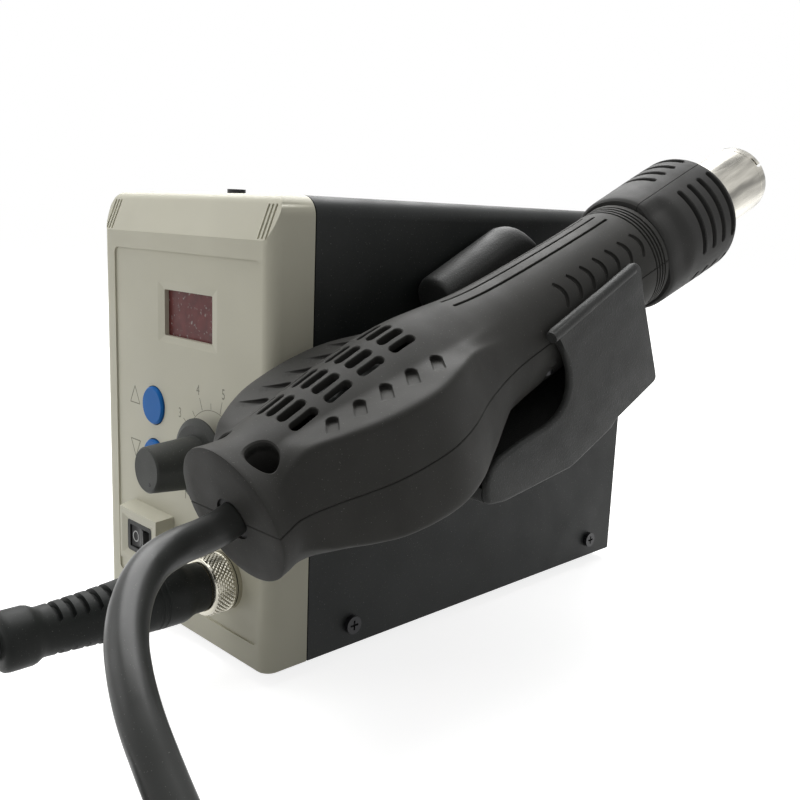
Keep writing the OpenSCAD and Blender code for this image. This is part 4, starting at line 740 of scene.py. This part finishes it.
def cradle():
    """The hollow inner wall, the outer plate with its rim, the floor and the bores."""
    inside = [(y * 0.9 - 0.6, 96 + (z - 96) * 0.88) for y, z in TALL_WALL]
    hollow = mesh_piece("hollow", *wall(inside, SIDE_X - 2, WALL_X - 3, 1.0))
    boolean(hollow, [rod(SIDE_X - 4, WALL_X, y, z + CASE_Z, 5) for y, z in CRADLE_SCREWS])
    obj = mesh_piece("cradle_moulding", *wall(TALL_WALL, SIDE_X + 0.02, WALL_X, 1.0, 6.4, 3))
    boolean(obj, [body_of(hollow)])
    boolean(obj, [wall(OUTER_WALL, CHANNEL_X, CHANNEL_X + PLATE_T, 1.1, 1.29, 2)], "UNION")
    boolean(obj, [body_of(tube("lip", [np.array([LIP_X, y, z + CASE_Z]) for y, z in LIP], LIP_R))],
        "UNION")
    boolean(obj, [cradle_floor()], "UNION")
    # Screw holes, their heads' bores and the magnet's seat, cut one by one because they overlap
    holes = [rod(SIDE_X - 1, WALL_X + 1, y, z + CASE_Z, HOLE_R) for y, z in CRADLE_SCREWS]
    holes += [rod(WALL_X - HEAD_DEEP, WALL_X + 8, y, z + CASE_Z, HEAD_R) for y, z in CRADLE_SCREWS]
    y, z = MAGNET_AT
    holes.append(rod(WALL_X - MAGNET_DEEP, WALL_X + 3, y, z + CASE_Z, MAGNET_R))
    for hole in holes:
        boolean(obj, [hole])
    obj.data.set_sharp_from_angle(angle=math.radians(32))
    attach(obj, "root")
    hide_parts("cradle")
    return obj


cradle_piece = cradle()


# Handpiece connector: knurled ring and rubber boot
SOCKET_X, SOCKET_Z = 25.7, 27.2
KNURLS, KNURL_PITCH, KNURL_DEEP = 40, 1.5, 0.5
RING_FRONT, RING_BACK, RING_R = -97.4, -89.7, 9.2


def knurl(a, y):
    """Depth of a crossed knurl below the ring's radius."""
    u, v = a * KNURLS / TAU, (y - RING_FRONT) / KNURL_PITCH
    waves = [abs((k % 1.0) - 0.5) * 2 for k in (u + v, u - v)]
    return -KNURL_DEEP * (1 - min(1.0, 1.5 * min(waves)))


def at_socket(verts):
    """Points about the connector's axis, in the frame's."""
    return [(SOCKET_X + x, y, SOCKET_Z + z) for x, y, z in verts]


def ring():
    """The coupling ring, knurled all round, with a plain bead behind."""
    teeth = [(RING_R, y, 1) for y in np.arange(RING_FRONT + 1.0, RING_BACK - 1.5, KNURL_PITCH / 6)]
    profile = [(7.15, RING_FRONT + 1.2), (7.15, RING_FRONT + 0.35), (7.5, RING_FRONT),
        (8.3, RING_FRONT), (8.8, RING_FRONT + 0.3), (8.95, RING_FRONT + 0.8)] + teeth
    profile += [(8.85, RING_BACK - 1.45), (8.85, RING_BACK - 1.2), (9.15, RING_BACK - 1.05),
        (9.15, RING_BACK - 0.3), (8.9, RING_BACK), (7.5, RING_BACK), (7.5, RING_FRONT + 1.7),
        (7.15, RING_FRONT + 1.7)]
    verts, faces = turned(profile, 6 * KNURLS, knurl)
    obj = mesh_piece("coupling_ring_knurled", at_socket(verts), faces, crease=38)
    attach(obj, "coupling_ring")
    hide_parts("coupling_nut")
    return obj


BOOT_FRONT, BOOT_RIBS, RIB_PITCH, RIB_STEPS = -97.6, 5, 3.7, 15


def boot():
    """The rubber boot: collar, body with two fine rings, slotted strain relief and bulb."""
    y = BOOT_FRONT
    profile = [(7.05, y), (7.05, y - 7.9), (LEAD_R + 0.05, y - 8), (LEAD_R + 0.05, y - 60),
        (6, y - 60), (7.1, y - 59.7), (7.8, y - 58.9), (8, y - 57.6), (8, y - 52.2), (7.7, y - 51),
        (6.8, y - 49.4), (6.75, y - 48), (7.1, y - 42), (7.5, y - 35), (8, y - 29), (8.4, y - 25),
        (8.6, y - 20), (8.7, y - 17.1), (8.5, y - 16.9), (8.5, y - 16.3), (8.72, y - 16.1),
        (8.75, y - 15.3), (8.55, y - 15.1), (8.55, y - 14.5), (8.78, y - 14.3), (8.8, y - 10),
        (8.75, y - 7.8), (8.4, y - 6.6), (7.7, y - 4.8), (7.4, y - 3.6), (7.4, y - 0.5), (7.25, y)]
    verts, faces = turned(profile, 72)
    obj = mesh_piece("plug_boot_ribbed", verts, faces)
    for k in range(BOOT_RIBS):
        for side in (1, -1):
            s = y - 30.2 - k * RIB_PITCH
            turn = np.linspace(-58, 58, RIB_STEPS)
            path = [around(8.6 - 0.07 * (y - 25 - s), s, 90 * side + a) for a in turn]
            boolean(obj, [cutter(path, [0.85] * RIB_STEPS, [2.1] * RIB_STEPS)])
    boot_mesh = [tuple(v / MM for v in vert.co) for vert in obj.data.vertices]
    for vert, at in zip(obj.data.vertices, at_socket(boot_mesh)):
        vert.co = Vector(at) * MM
    obj.data.set_sharp_from_angle(angle=math.radians(36))
    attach(obj, "root")
    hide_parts("plug_boot")
    return obj


ring_piece, boot_piece = ring(), boot()


# Printed marks on the panel, the rocker and the knob
PANEL_Y = -88.15
DIAL_X, DIAL_Z, DIAL_R = 18.5, 63.6, 14.8
# The marks' strokes, and how far their solids go over and into the panel
MARK, MARK_OVER, MARK_INTO = 0.38, -0.03, 0.02
# The dial's ticks: how many, the first one's angle, the step, and where long and short ones end
TICKS, TICK_FIRST, TICK_STEP, TICK_LONG, TICK_SHORT = 15, 224, 18.7, 19.0, 17.0
DIGIT_R, DIGIT_SIZE, DIGIT_NARROW = 21.4, 4.6, 0.8
# Heights of the triangles by the blue buttons, and which way each points
TRIANGLES = ((76.0, 1), (57.7, -1))


def stroke(a, b, width=MARK):
    """A thin bar on the panel from a to b, each (x, z)."""
    a, b = np.array(a, float), np.array(b, float)
    side = np.array([a[1] - b[1], b[0] - a[0]]) / np.linalg.norm(b - a) * width / 2
    corners = [a + side, b + side, b - side, a - side]
    return block(*([(x, PANEL_Y + d, z) for x, z in corners] for d in (MARK_OVER, MARK_INTO)))


def circle_mark(x, z, r, width, steps=96, squeeze=1.0):
    """A thin ring on the panel about (x, z); squeeze is its width over its height."""
    low, high = r - width / 2, r + width / 2
    verts = []
    for a in TAU * np.arange(steps) / steps:
        for q, d in ((low, MARK_OVER), (high, MARK_OVER), (high, MARK_INTO), (low, MARK_INTO)):
            verts.append((x + (squeeze * r + q - r) * math.cos(a), PANEL_Y + d,
                z + q * math.sin(a)))
    return verts, quads(steps, 4, joined_ends=True)


def digit(text, x, z):
    """A printed number as a thin solid."""
    data = bpy.data.curves.new("digit", "FONT")
    data.body, data.size, data.extrude = text, DIGIT_SIZE, 0.02
    data.align_x, data.align_y = "CENTER", "CENTER"
    obj = add("digit", data)
    bpy.context.view_layer.update()
    made = obj.to_mesh()
    verts = [(x + DIGIT_NARROW * v.co.x, PANEL_Y - v.co.z, z + v.co.y) for v in made.vertices]
    faces = [tuple(f.vertices) for f in made.polygons]
    obj.to_mesh_clear()
    bpy.data.objects.remove(obj, do_unlink=True)
    return verts, faces


def panel_marks():
    """The dial's ring, ticks and numbers, and the triangles by the buttons."""
    parts = [circle_mark(DIAL_X, DIAL_Z, DIAL_R, 0.22)]
    for k in range(TICKS):
        a = math.radians(TICK_FIRST - TICK_STEP * k)
        reach = TICK_LONG if k % 2 == 0 else TICK_SHORT
        start, end, number = ((DIAL_X + r * math.cos(a), DIAL_Z + r * math.sin(a))
            for r in (DIAL_R + 0.3, reach, DIGIT_R))
        parts.append(stroke(start, end, 0.24))
        if k % 2 == 0:
            parts.append(digit(str(k // 2 + 1), *number))
    for z, sign in TRIANGLES:
        tip, left, right = (-28.1, z + 3 * sign), (-31.2, z - 2.8 * sign), (-25.0, z - 2.8 * sign)
        parts += [stroke(tip, left), stroke(left, right), stroke(right, tip)]
    obj = mesh_piece("panel_marks", *joined(parts), crease=30)
    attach(obj, "root")
    return obj


# The rocker's pivot and rest angle, the radius of its hollow front and that front's middle
ROCKER_AT, ROCKER_TILT, ROCKER_CURVE = (-16.6, -91.45, 29.4), math.radians(-8), 12.285
ROCKER_FACE = -1.7


def rocker_marks():
    """O and I on the rocker's curved face."""
    c, k = math.cos(ROCKER_TILT), math.sin(ROCKER_TILT)
    made = []
    for verts, faces in (circle_mark(-3.0, 0, 1.75, 0.36, 40, squeeze=0.78),
            stroke((3.1, -1.8), (3.1, 1.8), 0.42)):
        out = []
        for x, y, z in verts:
            face = ROCKER_FACE - ROCKER_CURVE + math.sqrt(ROCKER_CURVE**2 - x * x)
            y = face + (y - PANEL_Y)
            out.append((ROCKER_AT[0] + c * x - k * y, ROCKER_AT[1] + k * x + c * y,
                ROCKER_AT[2] + z))
        made.append((out, faces))
    obj = mesh_piece("rocker_marks", *joined(made), crease=30)
    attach(obj, "rocker")
    return obj


KNOB_END_Y, DOT_X, DOT_Z, DOT_SIDES = -110.55, 1.9, -3.9, 24


def knob_dot():
    """The knob's pointer, a dark spot near the edge of its end."""
    verts = []
    rows = ((KNOB_END_Y + 0.05, 0.62), (KNOB_END_Y - 0.03, 0.62), (KNOB_END_Y - 0.04, 0.5))
    for y, r in rows:
        verts += [(DIAL_X + DOT_X + r * math.cos(a), y, DIAL_Z + DOT_Z + r * math.sin(a))
            for a in TAU * np.arange(DOT_SIDES) / DOT_SIDES]
    obj = mesh_piece("knob_dot", verts, skin(len(rows), DOT_SIDES), crease=30)
    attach(obj, "knob")
    return obj


marks = [panel_marks(), rocker_marks(), knob_dot()]


# Some carried-over nodes' edges are rounded a little
for node, width in (("front_bezel", 0.3), ("airflow_knob", 0.35), ("up_button", 0.45),
        ("down_button", 0.45), ("switch_body", 0.15), ("switch_rocker", 0.2)):
    mod = nodes[node].modifiers.new("edges", "BEVEL")
    mod.width, mod.segments = width * MM, 2
    mod.limit_method, mod.angle_limit = "ANGLE", math.radians(28)
    mod.harden_normals = True


# Materials: the finish of each slot
FINISH = {}
DUST_COLOUR = (0.32, 0.31, 0.29)


def surface(name, colour, rough, grain=900, bump=0.03, vary=0.08, patch=60, metal=0.0, gloss=0.5,
        rough_vary=0.06, stretch=(1, 1, 1), turn=0.0, dust=0.0):
    """A procedural finish: a colour that drifts in patches, fine grain and uneven gloss.
    grain and patch are per metre, bump is in millimetres, dust is the share of pale specks.
    stretch and turn, which is about X, draw the patches out into streaks."""
    made = FINISH[name] = bpy.data.materials.new(name)
    made.use_nodes = True
    tree = made.node_tree
    shader = tree.nodes["Principled BSDF"]
    coords = tree.nodes.new("ShaderNodeTexCoord")
    spread = tree.nodes.new("ShaderNodeMapping")
    spread.vector_type = "TEXTURE"
    spread.inputs["Rotation"].default_value = (turn, 0, 0)
    spread.inputs["Scale"].default_value = [1 / v for v in stretch]
    tree.links.new(coords.outputs["Object"], spread.inputs["Vector"])

    def noise(scale, detail, stretched=True):
        """Noise of that many grains per metre."""
        n = tree.nodes.new("ShaderNodeTexNoise")
        n.inputs["Scale"].default_value = scale
        n.inputs["Detail"].default_value = detail
        source = spread.outputs["Vector"] if stretched else coords.outputs["Object"]
        tree.links.new(source, n.inputs["Vector"])
        return n.outputs["Fac"]

    def ramp(fac, low, high, to_low, to_high):
        """The range from low to high spread over to_low to to_high."""
        m = tree.nodes.new("ShaderNodeMapRange")
        for key, value in (("From Min", low), ("From Max", high), ("To Min", to_low),
                ("To Max", to_high)):
            m.inputs[key].default_value = value
        tree.links.new(fac, m.inputs["Value"])
        return m.outputs["Result"]

    def mix(fac, a, b):
        """Colour a where fac is 0 and b where it is 1."""
        m = tree.nodes.new("ShaderNodeMix")
        m.data_type = "RGBA"
        tree.links.new(fac, m.inputs["Factor"])
        for key, value in (("A", a), ("B", b)):
            socket = [s for s in m.inputs if s.name == key and s.type == "RGBA"][0]
            if isinstance(value, tuple):
                socket.default_value = (*value, 1)
            else:
                tree.links.new(value, socket)
        return [s for s in m.outputs if s.type == "RGBA"][0]

    dark, light = (tuple(c * (1 + s * vary) for c in colour) for s in (-1, 1))
    paint = mix(ramp(noise(patch, 3.0), 0.35, 0.65, 0, 1), dark, light)
    if dust:
        # Full dust has coarser and stronger specks
        full = dust >= 1
        shown = 0.5 * max(dust, 0.5) + (0.25 if full else 0)
        specks = ramp(noise(900 if full else 2600, 1.0, False), 0.74 - 0.1 * dust, 0.8, 0, shown)
        film = ramp(noise(35, 4.0, False), 0.45, 0.8, 0, 0.10 * dust)
        for share in (specks, film):
            paint = mix(share, paint, DUST_COLOUR)
    tree.links.new(paint, shader.inputs["Base Color"])
    spread_rough = ramp(noise(patch * 2.3, 4.0), 0.3, 0.7, max(rough - rough_vary, 0.02),
        rough + rough_vary)
    tree.links.new(spread_rough, shader.inputs["Roughness"])
    if bump:
        relief = tree.nodes.new("ShaderNodeBump")
        relief.inputs["Distance"].default_value = bump * MM
        tree.links.new(noise(grain, 2.0), relief.inputs["Height"])
        tree.links.new(relief.outputs["Normal"], shader.inputs["Normal"])
    shader.inputs["Metallic"].default_value = metal
    shader.inputs["Specular IOR Level"].default_value = gloss


surface("moulding_ivory", (0.5, 0.484, 0.39), 0.46, 1500, 0.012, 0.035, 25, gloss=0.3)
surface("case_black", (0.007, 0.0085, 0.0080), 0.5, 1900, 0.02, 0.12, 30, gloss=0.22, dust=0.3)
surface("screw_black", (0.02, 0.02, 0.022), 0.3, 3000, 0.01, metal=0.4)
surface("foot_rubber", (0.012, 0.012, 0.012), 0.7, 2000, 0.02)
surface("screw_steel", (0.55, 0.55, 0.55), 0.28, 3000, 0.005, metal=1.0)
surface("window_red", (0.105, 0.022, 0.021), 0.35, 2000, 0.004, 0.2, 300, gloss=0.15, dust=1.0)
surface("display_dark", (0.03, 0.008, 0.008), 0.35)
surface("board_green", (0.02, 0.12, 0.04), 0.35)
surface("black_plastic", (0.028, 0.029, 0.028), 0.5, 1900, 0.12, 0.15, 60, gloss=0.2, dust=0.6)
surface("pot_metal", (0.45, 0.45, 0.46), 0.35, metal=1.0, bump=0.004)
surface("knob_black", (0.045, 0.047, 0.043), 0.5, 1800, 0.015, gloss=0.14, dust=0.5)
surface("button_blue", (0.012, 0.13, 0.42), 0.35, 2200, 0.01, 0.05, gloss=0.08)
surface("rocker_gloss", (0.008, 0.008, 0.008), 0.3, 1200, 0.004, gloss=0.12)
surface("connector_nickel", (0.5, 0.48, 0.41), 0.22, 2500, 0.006, metal=1.0)
surface("boot_rubber", (0.012, 0.0135, 0.0125), 0.5, 1400, 0.015, gloss=0.16, dust=0.3)
surface("standoff_brass", (0.6, 0.42, 0.16), 0.3, metal=1.0, bump=0.004)
surface("sink_aluminium", (0.55, 0.55, 0.57), 0.35, metal=1.0, bump=0.01)
surface("transformer_iron", (0.12, 0.12, 0.13), 0.45)
surface("terminal_green", (0.03, 0.2, 0.09), 0.45)
surface("handle_plastic", (0.036, 0.0355, 0.033), 0.58, 1700, 0.02, 0.1, 40, gloss=0.1, dust=0.3)
surface("fan_plastic", (0.025, 0.025, 0.027), 0.45)
surface("lead_rubber", (0.021, 0.022, 0.0205), 0.36, 900, 0.012, gloss=0.3, dust=0.2)
surface("cover_plastic", (0.045, 0.0445, 0.043), 0.6, 1700, 0.02, gloss=0.12, dust=0.3)
# The tube's colour patches, drawn out into streaks along its axis, are painted reflection bands:
# lighter and darker lengthwise stripes standing in for the surroundings mirrored in the steel. Its
# roughness streaks are the real brushed surface.
surface("tube_stainless", (0.52, 0.50, 0.445), 0.24, 1800, 0.01, 0.6, 150, metal=1.0,
    rough_vary=0.1, stretch=(1, 0.12, 1), turn=HAND_TILT)
surface("mica", (0.4, 0.31, 0.18), 0.4)
surface("ceramic", (0.7, 0.68, 0.6), 0.6)
surface("heater_wire", (0.3, 0.3, 0.31), 0.4, metal=1.0)
surface("tie_plastic", (0.02, 0.02, 0.02), 0.4)
surface("ink_grey", (0.19, 0.185, 0.14), 0.6, 2500, 0.0, 0.12, 300)
surface("ink_white", (0.42, 0.43, 0.42), 0.5, 2500, 0.0, 0.1, 300)
# The record's material slot of each CAD node
SLOT_OF = {p["node"]: p["material_slot"] for p in frame["record"]["subparts"]}


def wear(obj, slot):
    """Gives a piece or a CAD node that slot's finish."""
    if not obj.data.materials:
        obj.data.materials.append(FINISH[slot])
    for k in range(len(obj.data.materials)):
        obj.data.materials[k] = FINISH[slot]


for name, obj in nodes.items():
    wear(obj, SLOT_OF[name])
wear(lead, "lead_rubber")
for piece, slot in ((upper, "handle_plastic"), (lower, "handle_plastic"),
        (cover_right, "cover_plastic"), (cover_left, "cover_plastic"),
        (tube_piece, "tube_stainless"), (cradle_piece, "black_plastic"),
        (ring_piece, "connector_nickel"), (boot_piece, "boot_rubber"),
        (marks[0], "ink_grey"), (marks[1], "ink_white"), (marks[2], "rocker_gloss")):
    wear(piece, slot)


# Stage and light
FLOOR_HALF, FLOOR_COLOUR, FLOOR_LIFT = 30.0, (0.5, 0.5, 0.495), 0.82
WORLD_LEVEL = 0.36


def scaled_rays(tree, factor, base=0.0):
    """base, or base + factor for camera, glossy and transmission rays."""
    path = tree.nodes.new("ShaderNodeLightPath")
    either = path.outputs["Is Camera Ray"]
    for key in ("Is Glossy Ray", "Is Transmission Ray"):
        larger = tree.nodes.new("ShaderNodeMath")
        larger.operation = "MAXIMUM"
        tree.links.new(either, larger.inputs[0])
        tree.links.new(path.outputs[key], larger.inputs[1])
        either = larger.outputs[0]
    line = tree.nodes.new("ShaderNodeMath")
    line.operation = "MULTIPLY_ADD"
    tree.links.new(either, line.inputs[0])
    line.inputs[1].default_value = factor
    line.inputs[2].default_value = base
    return line.outputs[0]


def floor_piece():
    """The pale ground out to the horizon. Camera, glossy and transmission rays see it glow."""
    made = bpy.data.materials.new("floor_white")
    made.use_nodes = True
    tree = made.node_tree
    shader = tree.nodes["Principled BSDF"]
    shader.inputs["Base Color"].default_value = (*FLOOR_COLOUR, 1)
    shader.inputs["Roughness"].default_value = 0.9
    shader.inputs["Specular IOR Level"].default_value = 0.0
    tree.links.new(scaled_rays(tree, FLOOR_LIFT), shader.inputs["Emission Strength"])
    data = bpy.data.meshes.new("floor")
    corners = [(x * FLOOR_HALF, y * FLOOR_HALF, 0) for x, y in ((-1, -1), (1, -1), (1, 1), (-1, 1))]
    data.from_pydata(corners, [], [(0, 1, 2, 3)])
    obj = add("floor", data)
    data.materials.append(made)


def light(name, at, aim, size, power):
    """A square lamp at one place, aimed at another. The camera doesn't see it."""
    data = bpy.data.lights.new(name, "AREA")
    data.size = size
    data.energy = power
    obj = add(name, data)
    obj.location = at
    obj.rotation_euler = (Vector(aim) - Vector(at)).to_track_quat("-Z", "Y").to_euler()
    obj.visible_camera = False


def world_light():
    """A world that lights the scene at WORLD_LEVEL and looks white."""
    world = bpy.data.worlds.new("studio")
    bpy.context.scene.world = world
    world.use_nodes = True
    tree = world.node_tree
    back = tree.nodes["Background"]
    back.inputs["Color"].default_value = (1, 1, 1, 1)
    tree.links.new(scaled_rays(tree, 1 - WORLD_LEVEL, WORLD_LEVEL), back.inputs["Strength"])


floor_piece()
world_light()
light("overhead", at=(-0.5, 0.3, 1.2), aim=(0.05, -0.02, 0.1), size=1.4, power=36)
light("front", at=(-0.9, -1.1, 0.8), aim=(0, -0.05, 0.08), size=1.0, power=5.2)

bpy.context.scene.view_settings.view_transform = "Standard"
